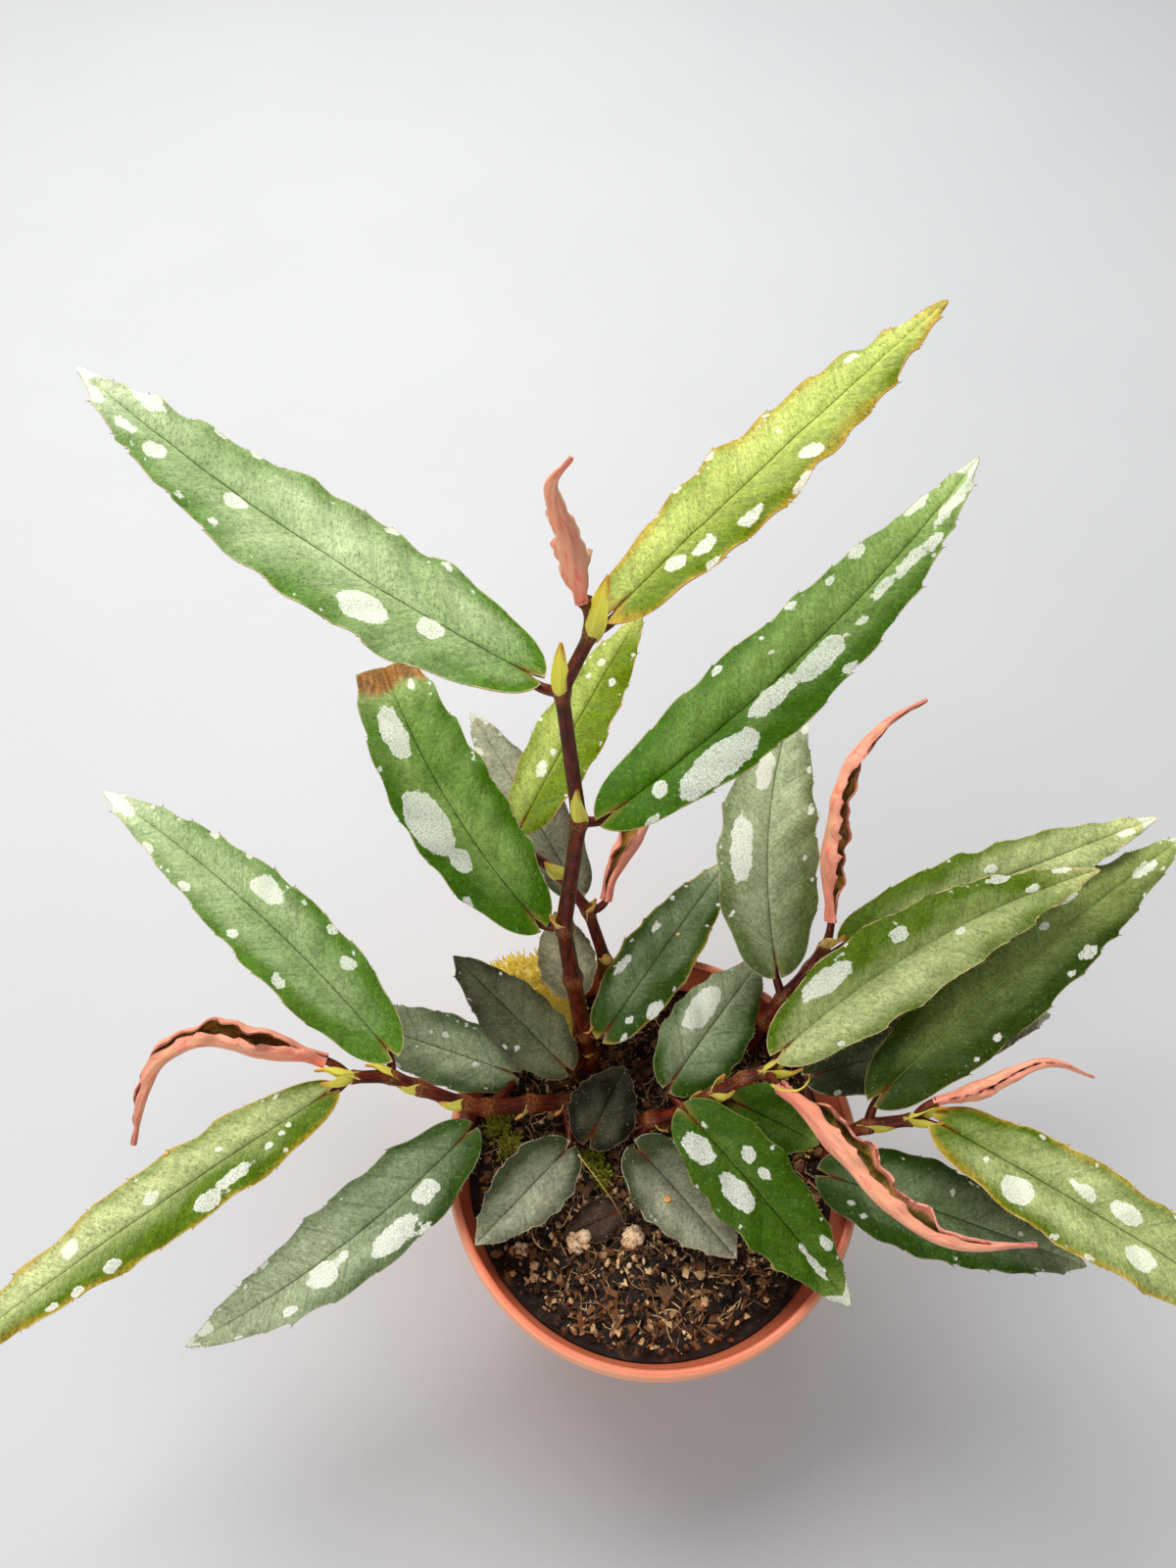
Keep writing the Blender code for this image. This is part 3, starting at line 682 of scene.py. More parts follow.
def cloud(points: Array, size: float, seed: int) -> Array:
    """Smooth noise from -1 to 1 at the points.

    Each corner of a lattice of cubes has a value from a hash, the fraction of a large sine. A point
    takes the mean of its cube's eight corners, weighted by the smooth step 3t^2 - 2t^3 each way.

    Args:
        points: rows of three coordinates.
        size: the cubes' side.
        seed: another number gives another pattern.

    Returns:
        One value for each point.
    """
    cell = points / size
    low = np.floor(cell)
    t = cell - low
    t = t * t * (3 - 2 * t)
    total = np.zeros(points.shape[:-1])
    for corner in product((0, 1), repeat=3):
        hashed = (low + corner) @ np.array([12.9898, 78.233, 37.719]) + seed * 4.1414
        value = np.modf(np.abs(np.sin(hashed) * 43758.5453))[0]
        total += (value * 2 - 1) * np.prod(np.where(corner, t, 1 - t), axis=-1)
    return total


def smooth_path(points: list[Point] | Array, steps: int) -> Array:
    """Return a smooth curve through the points, a Catmull-Rom spline with equal steps a span."""
    points = np.asarray(points, float)
    ends = np.vstack([2 * points[0] - points[1], points, 2 * points[-1] - points[-2]])
    t = (np.arange(steps) / steps)[:, None]
    spans = [0.5 * (2 * b + (c - a) * t + (2 * a - 5 * b + 4 * c - d) * t ** 2
                    + (3 * b - a - 3 * c + d) * t ** 3)
             for a, b, c, d in zip(ends, ends[1:], ends[2:], ends[3:])]
    return np.vstack(spans + [points[-1:]])


def path_frame(path: Array) -> tuple[Array, Array, Array]:
    """Directions ahead, across and above at each point of a path.

    Across starts level, square to the path, and is carried along without turning about it.
    """
    ahead = unit(np.gradient(path, axis=0))
    across = np.cross((0.0, 0.0, 1.0), ahead[0])
    across = across if np.linalg.norm(across) > 0.05 else np.array([1.0, 0.0, 0.0])
    carried = []
    for direction in ahead:
        across = unit(across - direction * (across @ direction))
        carried.append(across)
    carried = np.array(carried)
    return ahead, carried, np.cross(ahead, carried)


def path_length(path: Array) -> Array:
    """Distance travelled along a path at each of its points."""
    return np.concatenate([[0.0], np.cumsum(np.linalg.norm(np.diff(path, axis=0), axis=1))])


@dataclass(frozen=True)
class Palette:
    """A leaf's colours: where it is deep, where it is pale (partly its own silvery hazing and partly painted
    sheen), its tip and its rim.
    """
    deep: Colour
    pale: Colour
    tip: Colour
    rim: Colour


class Shade(Enum):
    """The leaves' colours, from fresh to dead."""
    SAGE = Palette(srgb(84, 124, 30), srgb(188, 206, 152), srgb(226, 232, 196), srgb(208, 186, 136))
    LIME = Palette(srgb(104, 126, 0), srgb(190, 202, 104), srgb(216, 212, 120), srgb(206, 150, 84))
    GREEN = Palette(srgb(64, 106, 0), srgb(146, 176, 92), srgb(194, 212, 140), srgb(176, 170, 106))
    OLIVE = Palette(srgb(84, 110, 0), srgb(198, 206, 142), srgb(214, 214, 142), srgb(222, 196, 134))
    DEEP = Palette(srgb(58, 92, 0), srgb(112, 136, 58), srgb(156, 174, 88), srgb(150, 146, 80))
    DUSKY = Palette(srgb(48, 76, 8), srgb(162, 174, 136), srgb(184, 192, 150), srgb(150, 142, 108))
    FOREST = Palette(srgb(48, 68, 4), srgb(138, 154, 82), srgb(180, 194, 116), srgb(160, 152, 86))
    MISTY = Palette(srgb(92, 108, 56), srgb(186, 198, 156), srgb(206, 212, 174), srgb(178, 168, 134))
    GREY = Palette(srgb(56, 64, 34), srgb(164, 166, 138), srgb(166, 164, 134), srgb(188, 178, 148))
    CHARCOAL = Palette(srgb(22, 20, 2), srgb(108, 112, 78), srgb(52, 44, 26), srgb(120, 100, 72))
    TAUPE = Palette(srgb(112, 108, 78), srgb(192, 188, 152), srgb(166, 156, 130), srgb(180, 160, 130))
    DRY = Palette(srgb(44, 30, 22), srgb(96, 74, 56), srgb(88, 66, 48), srgb(108, 82, 60))


@dataclass
class Leaf:
    """A blade with its place, bend, colours and spots.

    Each spot is its place along (share of the length), its place across (-1 right to 1 left),
    and its length and width. Haze is how pale the blade is on the whole, where the pale colour is
    partly the leaf's own silvery hazing and partly painted sheen; outward is how much paler it
    grows towards the tip; and the half lighting is how much paler the left half is than the right,
    painted light as if that half faced the lamps. Scorch is how far the rim's colour spreads
    inwards.
    """
    name: str
    base: Point
    heading: float
    length: float
    width: float
    rise: float
    droop: float
    sweep: float = 0.0
    roll: float = 0.0
    fold: float = 14.0
    wave: float = 0.5
    waves: float = 3.0
    ruffle: float = 0.3
    lobe: float = 0.16
    blunt: float = 0.0
    shade: Shade = Shade.GREEN
    # Pale share: partly the leaf's own silvery hazing and partly painted sheen.
    haze_and_sheen: float = 0.45
    outward: float = 0.3
    # How much paler the left half is than the right: painted sheen where that half faces the lamps.
    painted_lit_half: float = 0.0
    scorch: float = 0.0
    silver_tip: float = 0.0
    dead_tip: float = 0.0
    dots: int = 14
    spots: tuple = ()
    old: bool = False
    pale_midrib: bool = False

    scorched = srgb(186, 152, 46)
    base_roundness = 0.44
    tip_taper = 0.86
    lobe_reach = 0.25
    blunt_teeth = 6
    blunt_tooth_depth = 0.035
    base_half_width = 0.65
    tip_half_width = 0.75
    tip_round = 0.018
    grid_step = 0.7
    columns = 28
    thickness = 0.5
    rib_height = 0.45
    hairs_per_mm = 1.1

    def __post_init__(self) -> None:
        """Draw what differs from leaf to leaf from a seed made of the leaf's name."""
        self.seed = sum(ord(letter) * (i + 3) for i, letter in enumerate(self.name))
        draw = np.random.default_rng(self.seed)
        count = max(4, int(self.length / 8))
        spread = (np.arange(count) + draw.uniform(0.25, 0.75, (2, count))) / count
        self.teeth = 0.12 + 0.86 * spread
        self.tooth_depth = (draw.uniform(0.15, 0.5, (2, count)) * (0.6 + self.teeth)
                            * min(1.0, self.width / 16))
        self.dot_along = draw.uniform(0.1, 0.97, self.dots)
        self.dot_across = draw.choice([-1, 1], self.dots) * draw.uniform(0.8, 0.98, self.dots)
        self.dot_size = draw.uniform(0.5, 1.3, self.dots)

    def frame(self, stations: Array) -> tuple[Array, Array, Array, Array]:
        """Midrib points and directions at stations along the leaf.

        The heading turns by the sweep and the rise falls by the droop along the length, and the
        spine is the running sum of the direction. The roll leans left and up about the spine.

        Args:
            stations: shares of the length.

        Returns:
            Points, and the directions forward, left and up.
        """
        fine = np.linspace(0, 1, 121)
        heading = np.radians(self.heading + self.sweep * (fine - 0.35))
        rise = np.radians(self.rise - self.droop * fine)
        ahead = np.stack([np.cos(rise) * np.cos(heading), np.cos(rise) * np.sin(heading), np.sin(rise)], -1)
        steps = 0.5 * (ahead[1:] + ahead[:-1]) * self.length / (len(fine) - 1)
        spine = np.vstack([[0, 0, 0], np.cumsum(steps, 0)]) + np.array(self.base, float)
        point = np.stack([np.interp(stations, fine, spine[:, i]) for i in range(3)], -1)
        forward = unit(np.stack([np.interp(stations, fine, ahead[:, i]) for i in range(3)], -1))
        left = unit(np.cross([0, 0, 1.0], forward))
        above = np.cross(forward, left)
        lean = math.radians(self.roll)
        return (point, forward, left * math.cos(lean) + above * math.sin(lean),
                above * math.cos(lean) - left * math.sin(lean))

    def half_width(self, s: Array) -> Array:
        """Half the width along the leaf: s^a (1-s)^b scaled to 1 at its widest, with blunt teeth."""
        along = np.clip(s * (1 - self.blunt), 0, 1)
        widest = self.base_roundness / (self.base_roundness + self.tip_taper)
        shape = (along / widest) ** self.base_roundness * ((1 - along) / (1 - widest)) ** self.tip_taper
        shape = shape * (1 + self.blunt_tooth_depth * np.sin(2 * math.pi * self.blunt_teeth * s))
        round_end = np.sqrt(np.clip((1 - s) / self.tip_round, 0.02, 1))
        least = (self.base_half_width + (self.tip_half_width - self.base_half_width) * s) * round_end
        return np.maximum(self.width / 2 * shape, least)

    def sharp_teeth(self, s: Array) -> Array:
        """How far the fine teeth stand out at stations, for the right and left margin.

        Each tooth climbs as a power over a fourteenth of the length and drops at its point.
        """
        before = self.teeth[:, None, :] - s[None, :, None]
        climb = np.clip(1 - before * 14, 0, 1) ** 2.5 * (before >= -0.004)
        return (climb * self.tooth_depth[:, None, :]).max(-1)

    def surface(self, s: Array, u: Array) -> tuple[Array, Array]:
        """Middle surface of the blade.

        Across, each half rises from the midrib by the fold and turns down towards the margin.
        The margin waves in a slow and a quick wave, the cells between the veins are quilted up,
        the midrib is a groove, and beside the stalk both halves reach back as lobes.

        Args:
            s: stations, shares of the length.
            u: places across, from -1 to 1.

        Returns:
            The points, and the distance across from the midrib.
        """
        point, forward, left, above = self.frame(s)
        u = u[None, :]
        teeth = self.sharp_teeth(s)
        tooth = np.where(u > 0, teeth[1][:, None], teeth[0][:, None]) * np.abs(u) ** 10
        half = self.half_width(s)[:, None]
        fold = math.radians(self.fold)
        across = half * u * math.cos(fold) + np.sign(u) * tooth
        fade = np.clip(s / 0.15, 0, 1)[:, None] * np.clip((1 - s) / 0.1, 0, 1)[:, None]
        slow = self.wave * np.abs(u) ** 2 * np.sin(2 * math.pi * self.waves * s[:, None] + 1.5 * np.sign(u))
        quick = self.ruffle * np.abs(u) ** 4 * np.sin(2 * math.pi * (self.length / 9.0) * s[:, None]
                                               + self.seed + 2.0 * np.sign(u))
        cells = (s[:, None] * self.length - np.abs(across) * 0.95) / BladeFinish.vein_spacing
        quilt = 0.24 * np.cos(2 * math.pi * cells) * np.clip(np.abs(across) / 2, 0, 1) * (1 - u ** 4)
        groove = -0.22 * np.exp(-(across / 0.35) ** 2)
        flat = np.stack([s[:, None] * self.length + 0 * u, across, 0 * across + self.seed], -1)
        ripple = 0.22 * cloud(flat, 5.0, self.seed)
        height = half * math.sin(fold) * (np.abs(u) * 1.5 - u ** 2 * 1.25)
        height = height + (slow + quick + quilt + ripple) * fade + groove
        back = (self.lobe * self.width * np.abs(u) ** 1.5
                * np.clip(1 - s / self.lobe_reach, 0, 1)[:, None] ** 2)
        return (point[:, None, :] - forward[:, None, :] * back[..., None]
                + left[:, None, :] * across[..., None] + above[:, None, :] * height[..., None]), across

    def spot_distance(self, s: Array, across: Array) -> Array:
        """Signed distance to the nearest spot: an ellipse's level less one, times its width.

        Small dots along the margins and the silver tip count as spots too.
        """
        along = s[:, None] * self.length + 0 * across
        half = self.half_width(s)[:, None]
        nearest = np.full(across.shape, 9.0)
        dots = [(a, c, d, d * 0.8) for a, c, d in zip(self.dot_along, self.dot_across, self.dot_size)]
        for share, side, long, wide in list(self.spots) + dots:
            middle = float(self.half_width(np.array([share]))[0]) * side * math.cos(math.radians(self.fold))
            level = np.hypot((along - share * self.length) / (long / 2), (across - middle) / (wide / 2))
            nearest = np.minimum(nearest, (level - 1) * wide / 2)
        if self.silver_tip:
            from_tip = (1 - self.silver_tip - s[:, None]) * self.length * 0.5
            margin = half - np.abs(across)
            nearest = np.minimum(nearest, from_tip + margin * 0.9 - 0.6)
        return nearest

    def pigment(self, s: Array, u: Array, across: Array) -> Array:
        """Colour over the blade, between its deep and pale colours.

        The share of the pale one is the leaf's hazing, partly its own and partly painted sheen: more
        towards the tip, painted paler on the half set by the half lighting as sheen where it faces the
        lamps, less at the base and just inside the margin, a little more along the middle, plus clouds
        drawn out along the leaf. The tip's colour comes in over the last fifth, and a tan creeps in
        from the rim where the leaf is scorched.

        Args:
            s: stations, shares of the length.
            u: places across, from -1 to 1.
            across: distance from the midrib.

        Returns:
            A colour with alpha for each point.
        """
        palette = self.shade.value
        along, u = s[:, None], u[None, :]
        flat = np.stack([along * self.length * 0.4 + 0 * u, across, 0 * across + self.seed], -1)
        clouds = cloud(flat, 4.5, self.seed) + 0.5 * cloud(flat, 1.8, self.seed + 1)
        # Painted light: one half paler, as sheen where that half faces the lamps.
        painted_lit_half = np.tanh(u * 3.5) * self.painted_lit_half
        base = np.clip(1 - along / 0.16, 0, 1) ** 1.2 * 0.35
        inside = np.clip((np.abs(u) - 0.6) / 0.3, 0, 1) * np.clip(1.4 - along * 1.1, 0, 1) * 0.34
        middle = 0.1 * (1 - (u / 0.5) ** 2).clip(-1)
        # The pale share stands partly for the leaf's own hazing and partly for painted sheen.
        share = self.haze_and_sheen + self.outward * (along - 0.45) + painted_lit_half - base - inside + middle + 0.26 * clouds
        share = np.clip(share, 0, 1)[..., None]
        colour = np.array(palette.deep) * (1 - share) + np.array(palette.pale) * share
        tip = (np.clip((along - 0.78) / 0.22, 0, 1) ** 1.5 * 0.8 + 0 * u)[..., None]
        colour = colour + (np.array(palette.tip) - colour) * tip
        if self.scorch:
            edge = self.half_width(s)[:, None] * (1 - np.abs(u))
            creep = np.clip(1.2 - edge / (self.scorch * (1 + 1.3 * clouds)).clip(0.2), 0, 1)[..., None]
            colour = colour + (np.array(self.scorched) - colour) * creep * 0.7
        if self.dead_tip:
            dead = np.clip((along - 1 + self.dead_tip) / 0.03 + 0.5 * np.sin(4 * u), 0, 1)[..., None]
            dry = 0.75 + 0.5 * cloud(flat * [0.3, 6.0, 1.0], 1.0, self.seed)[..., None]
            colour = colour + (np.array(srgb(170, 118, 60)) * dry - colour) * dead
        return np.concatenate([colour, np.ones_like(colour[..., :1])], -1)

    def bristles(self, points: Array, s: Array) -> Patch:
        """Three-sided points on the margin, sunk in it and leaning ahead: on the teeth and between.

        Args:
            points: the middle surface.
            s: its stations.

        Returns:
            The bristles, with the values that the leaf's finish reads.
        """
        rows, columns = points.shape[:2]
        draw = np.random.default_rng(self.seed + 1)
        fine = draw.uniform(0.03, 0.98, (2, int(self.length * self.hairs_per_mm)))
        places = np.concatenate([self.teeth, fine], 1)
        reach = np.concatenate([self.tooth_depth + 0.2, draw.uniform(0.3, 0.65, fine.shape)], 1)
        girth = np.concatenate([np.full(self.teeth.shape, 0.16), np.full(fine.shape, 0.06)], 1)
        feet, aheads, outs = [], [], []
        for side, column in ((0, columns - 1), (1, 0)):
            row = np.clip(np.searchsorted(s, places[side]), 1, rows - 2)
            foot = points[row, column]
            out = unit(foot - points[row, columns // 2])
            feet.append(foot - out * 0.25)
            aheads.append(unit(points[row + 1, column] - points[row - 1, column]))
            outs.append(out)
        foot, ahead, out = (np.concatenate(rows_) for rows_ in (feet, aheads, outs))
        reach, girth = reach.reshape(-1, 1), girth.reshape(-1, 1)
        above = np.cross(ahead, out)
        ring = [foot + ahead * girth, foot + (above - ahead) * girth * 0.7,
                foot - (above + ahead) * girth * 0.7]
        solid = np.stack(ring + [foot + (out + ahead * 0.8) * (reach + 0.25)], 1)
        turned = np.einsum("ij,ij->i", np.cross(solid[:, 1] - solid[:, 0], solid[:, 2] - solid[:, 0]),
                           solid[:, 3] - solid[:, 0]) > 0
        solid[turned] = solid[turned][:, [1, 0, 2, 3]]
        faces = np.array([[0, 1, 2, -1], [0, 3, 1, -1], [1, 3, 2, -1], [2, 3, 0, -1]])
        starts = np.arange(len(solid))[:, None, None] * 4
        faces = np.where(faces[None] < 0, -1, faces[None] + starts).reshape(-1, 4)
        count = len(solid) * 4
        thick = np.repeat(girth[:, 0] > 0.1, 4)[:, None]
        colour = np.where(thick, [*srgb(120, 62, 40), 1.0], [*srgb(206, 190, 150), 1.0])
        return Patch(solid.reshape(-1, 3), faces, {
            "blade": np.tile([0.0, 5.0, 1.0], (count, 1)), "run": np.tile([30.0, 0.5, 0.0], (count, 1)),
            "spot": np.full(count, 5.0), "pigment": colour, "rim": colour})

    def build(self, material: bpy.types.Material, node: str | None) -> bpy.types.Object:
        """Make the blade's mesh: the middle surface and its copy on either side, thinner outwards.

        Args:
            material: the finish.
            node: the CAD node that the blade stands for, if any.

        Returns:
            The piece.
        """
        rows = int(np.clip(self.length / self.grid_step, 30, 130))
        s = np.linspace(0, 1, rows + 1) ** 1.25
        places = np.linspace(1, -1, self.columns + 1)
        u = np.sign(places) * np.abs(places) ** 1.12
        middle, across = self.surface(s, u)
        normal = unit(np.cross(np.gradient(middle, axis=1), np.gradient(middle, axis=0)))
        thick = self.thickness / 2 * (1 - 0.6 * u[None, :] ** 4)
        rib = self.rib_height * np.exp(-(across / 0.5) ** 2) * (1 - 0.75 * s[:, None])
        upper = middle + normal * thick[..., None]
        lower = middle - normal * (thick + rib)[..., None]
        margin = np.concatenate([middle[:, 0], middle[:, -1], middle[0], middle[-1]])
        edge = np.linalg.norm(middle[:, :, None] - margin, axis=-1).min(-1)
        along = s[:, None] * self.length + 0 * across
        run = np.stack([along, s[:, None] + 0 * across, edge], -1).reshape(-1, 3)
        shift = (self.seed % 97) * 13.0
        sides = [np.stack([along + shift, across, np.full(across.shape, side)], -1).reshape(-1, 3)
                 for side in (1.0, 0.0)]
        spot = self.spot_distance(s, across).ravel()
        pigment = self.pigment(s, u, across).reshape(-1, 4)
        rim = np.tile([*self.shade.value.rim, 1.0], (len(spot), 1))
        blade = Patch(np.concatenate([upper.reshape(-1, 3), lower.reshape(-1, 3)]),
                      sheet_faces(rows + 1, self.columns + 1),
                      {"blade": np.concatenate(sides), "run": np.tile(run, (2, 1)),
                       "spot": np.tile(spot, 2), "pigment": np.tile(pigment, (2, 1)),
                       "rim": np.tile(rim, (2, 1))})
        patch = joined([blade, self.bristles(middle, s)])
        piece = make_piece(self.name + "_blade", patch, material)
        if node:
            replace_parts(piece, node)
        return piece


@dataclass
class YoungLeaf:
    """A leaf still rolled along its midrib, with its path, half width and how far it has opened.

    The flare is how far one margin has unrolled outwards, in radii, and the gape is the share of
    the length between which it has opened.
    """
    name: str
    path: list[Point]
    radius: float
    turn: float = 0.0
    opening: float = 50.0
    closed: float = 168.0
    flare: float = 0.0
    gape: tuple[float, float] = (0.05, 0.85)
    steps: int = 16
    columns: int = 32
    thickness: float = 0.42

    def build(self, material: bpy.types.Material) -> bpy.types.Object:
        """Make the rolled blade.

        Its section is an arc about the path, with its gap up and then turned: the angle is -90
        degrees plus the turn and the place across times the spread. The spread narrows along the
        middle of the leaf, where it has opened, and the margins ruffle and end in small teeth.

        Args:
            material: the finish.

        Returns:
            The piece.
        """
        seed = sum(ord(letter) for letter in self.name)
        path = smooth_path(self.path, self.steps)
        share = path_length(path) / path_length(path)[-1]
        _, across, above = path_frame(path)
        swell = np.clip(share / 0.25, 0.3, 1) ** 0.6 * np.clip((1 - share) / 0.75, 0.1, 1) ** 0.75
        t, v = share[:, None], np.linspace(-1, 1, self.columns + 1)[None, :]
        first, last = self.gape
        opened = np.clip(np.sin(np.pi * np.clip((t - first) / (last - first), 0, 1)), 0, 1) ** 0.8
        spread = self.closed - self.opening * opened
        saw = (14 * t + seed + 0.5 * np.sign(v)) % 1.0
        teeth = np.abs(v) ** 10 * (16.0 * saw ** 2 - 4.0)
        sway = 16.0 * opened * np.sin(2 * np.pi * 1.4 * t + seed)
        angle = np.radians(-90 + self.turn + sway + v * (spread + teeth * opened))
        ruffle = 1 + np.abs(v) ** 3 * (0.28 * np.sin(2 * np.pi * 5 * t + seed + 2 * v)
                                       + 0.16 * np.sin(2 * np.pi * 11 * t + 3 * v))
        wing = np.clip(v, 0, 1) ** 3 * np.sin(np.pi * np.clip((t - 0.1) / 0.75, 0, 1)) ** 0.7
        ruffle = ruffle + self.flare * wing * (0.8 + 0.3 * np.sin(2 * np.pi * 7 * t + seed))
        radius = self.radius * swell[:, None] * ruffle
        bend = path[:, None, :] + 0 * angle[..., None]
        crease = 1 + 0.09 * np.cos(angle * 3 + 9 * t) + 0.05 * np.cos(angle * 7 - 20 * t)

        def layer(inset: float) -> Array:
            """Points of the roll at a depth below its outside."""
            reach = np.maximum(radius * crease - inset, radius * 0.45)
            return (bend + across[:, None, :] * (reach * np.cos(angle))[..., None]
                    + above[:, None, :] * (reach * np.sin(angle))[..., None])

        outer, inner = layer(0.0), layer(self.thickness)
        arc = radius * np.radians(spread) * v
        along = t * path_length(path)[-1] + 0 * arc
        edge = radius * np.radians(spread) * (1 - np.abs(v))
        run = np.stack([along, t + 0 * arc, edge], -1).reshape(-1, 3)
        sides = [np.stack([along + seed, arc, np.full(arc.shape, side)], -1).reshape(-1, 3)
                 for side in (1.0, 0.0)]
        patch = Patch(np.concatenate([inner[:, ::-1].reshape(-1, 3), outer[:, ::-1].reshape(-1, 3)]),
                      sheet_faces(len(path), self.columns + 1),
                      {"blade": np.concatenate(sides), "run": np.tile(run, (2, 1))})
        piece = make_piece(self.name + "_roll", patch, material)
        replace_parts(piece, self.name)
        return piece


@dataclass
class Cane:
    """A jointed stem with the stalks of its leaves and its stipules.

    Joints run from below the soil upwards. Each stalk is the joint that it leaves, the point that
    it reaches and the direction that it arrives in. Each stipule is a joint, a heading, a length
    and whether it has withered.
    """
    name: str
    joints: list[Point]
    low_radius: float
    top_radius: float
    stipules: list[tuple] = field(default_factory=list)
    stalks: list[tuple[int, Array, Array]] = field(default_factory=list)
    sides: int = 18
    swelling: float = 0.2
    stalk_radius: float = 0.85
    scale_width: float = 2.1

    def tube(self, path: Array, radii: Array, joint: Array, seed: int) -> Patch:
        """Carry a circle along a path, slightly out of round.

        Each ring's point is the path plus the radius times (cos, sin) across and above, and the
        radius is scaled by one plus a small noise.

        Args:
            path: the points that it follows.
            radii: the radius at each.
            joint: how near each is to a joint, from 0 to 1.
            seed: for the noise.

        Returns:
            The closed tube.
        """
        _, across, above = path_frame(path)
        turn = np.arange(self.sides) * 2 * math.pi / self.sides
        ring = (across[:, None, :] * np.cos(turn)[None, :, None]
                + above[:, None, :] * np.sin(turn)[None, :, None])
        points = path[:, None, :] + ring * radii[:, None, None]
        lumpy = 1 + 0.04 * cloud(points, 2.6, seed)
        points = path[:, None, :] + ring * (radii[:, None] * lumpy)[..., None]
        along = path_length(path)
        round_about = np.abs(np.degrees(turn) / 180 - 1) * 3
        bark = np.stack([round_about[None, :] + 0 * lumpy, along[:, None] + seed + 0 * lumpy,
                         joint[:, None] + 0 * lumpy], -1).reshape(-1, 3)
        ends = np.stack([path[0], path[-1]])
        caps = np.array([[0.0, seed, 0.0], [0.0, along[-1] + seed, 0.5]])
        return Patch(np.concatenate([points.reshape(-1, 3), ends]), tube_faces(len(path), self.sides),
                     {"bark": np.concatenate([bark, caps])})

    def stem(self) -> Patch:
        """The jointed stem: the radius shrinks evenly, and swells as a bell curve at each joint."""
        joints = np.asarray(self.joints, float)
        spans = []
        for start, end in zip(joints[:-1], joints[1:]):
            count = max(4, int(np.linalg.norm(end - start) / 0.8))
            spans.append(start + (end - start) * (np.arange(count) / count)[:, None])
        path = np.vstack(spans + [joints[-1:]])
        for _ in range(3):
            path[1:-1] = 0.25 * path[:-2] + 0.5 * path[1:-1] + 0.25 * path[2:]
        along = path_length(path)
        nodes = np.array([along[np.argmin(np.linalg.norm(path - j, axis=1))] for j in joints[2:]])
        bells = np.exp(-((along[:, None] - nodes[None, :]) / 1.5) ** 2).max(1)
        radii = self.low_radius + (self.top_radius - self.low_radius) * along / along[-1]
        radii = radii * (0.92 + (self.swelling + 0.1) * bells)
        radii[-1] *= 0.7
        return self.tube(path, radii, bells, len(self.name))

    def stalk(self, joint: int, end: Array, arrive: Array) -> Patch:
        """A leaf's stalk: a quadratic curve from the joint, arriving along the blade's base."""
        start = np.array(self.joints[joint], float)
        bend = end - arrive * np.linalg.norm(end - start) * 0.5
        t = np.linspace(0, 1, 15)[:, None]
        path = (1 - t) ** 2 * start + 2 * t * (1 - t) * bend + t ** 2 * end
        radii = self.stalk_radius * (1.15 - 0.4 * t[:, 0] + 0.35 * t[:, 0] ** 8)
        return self.tube(path, radii, 0.4 * t[:, 0] ** 3, int(100 + joint * 7))

    def stipule(self, joint: int, heading: float, length: float, withered: bool) -> Patch:
        """A papery scale beside a joint.

        It follows a curve out from the joint and up along the cane, its width rises to a quarter
        of the way and tapers to a spike, and it is cupped round the cane by the square of the
        place across. A withered one curls further out.
        """
        foot = np.array(self.joints[joint], float)
        length = length * (0.75 if withered else 1.0)
        turn = math.radians(heading)
        out = np.array([math.cos(turn), math.sin(turn), 0])
        last = len(self.joints) - 1
        after, before = self.joints[min(joint + 1, last)], self.joints[joint - 1]
        up = unit(np.array(after, float) - np.array(before, float))
        out = unit(out - up * (out @ up))
        curl = 1.45 if withered else 1.0
        path = smooth_path([foot + out * 0.7 - up * 1.8, foot + out * 1.6 + up * length * 0.22,
                            foot + out * (1.7 * curl) + up * length * 0.65,
                            foot + out * (1.3 * curl ** 2.2) + up * length * 1.05], 9)
        share = np.linspace(0, 1, len(path))
        side = unit(np.cross(up, out))
        swell = np.sin(np.clip(0.3 + share * 1.1, 0, 1) * np.pi / 2) * np.clip(1.04 - share, 0, 1) ** 0.9
        width = self.scale_width * swell * 1.15 + 0.06
        v = np.linspace(1, -1, 13)
        cup = (1.05 - 0.5 * share[:, None]) * width[:, None] * v[None, :] ** 2
        crimp = (0.3 if withered else 0.14) * np.sin(11 * share[:, None] + 4 * v[None, :]) * np.abs(v)
        points = (path[:, None, :] + side * (width[:, None] * v[None, :])[..., None]
                  - out * (cup + crimp)[..., None])
        normal = unit(np.cross(np.gradient(points, axis=1), np.gradient(points, axis=0)))
        thin = 0.13 * (1 - 0.5 * np.abs(v))[None, :, None]
        rows, columns = points.shape[:2]
        scale = np.stack([share[:, None] + 0 * cup, v[None, :] + 0 * cup,
                          np.full(cup.shape, float(withered))], -1).reshape(-1, 3)
        return Patch(np.concatenate([(points + normal * thin).reshape(-1, 3),
                                     (points - normal * thin).reshape(-1, 3)]),
                     sheet_faces(rows, columns), {"scale": np.tile(scale, (2, 1))})

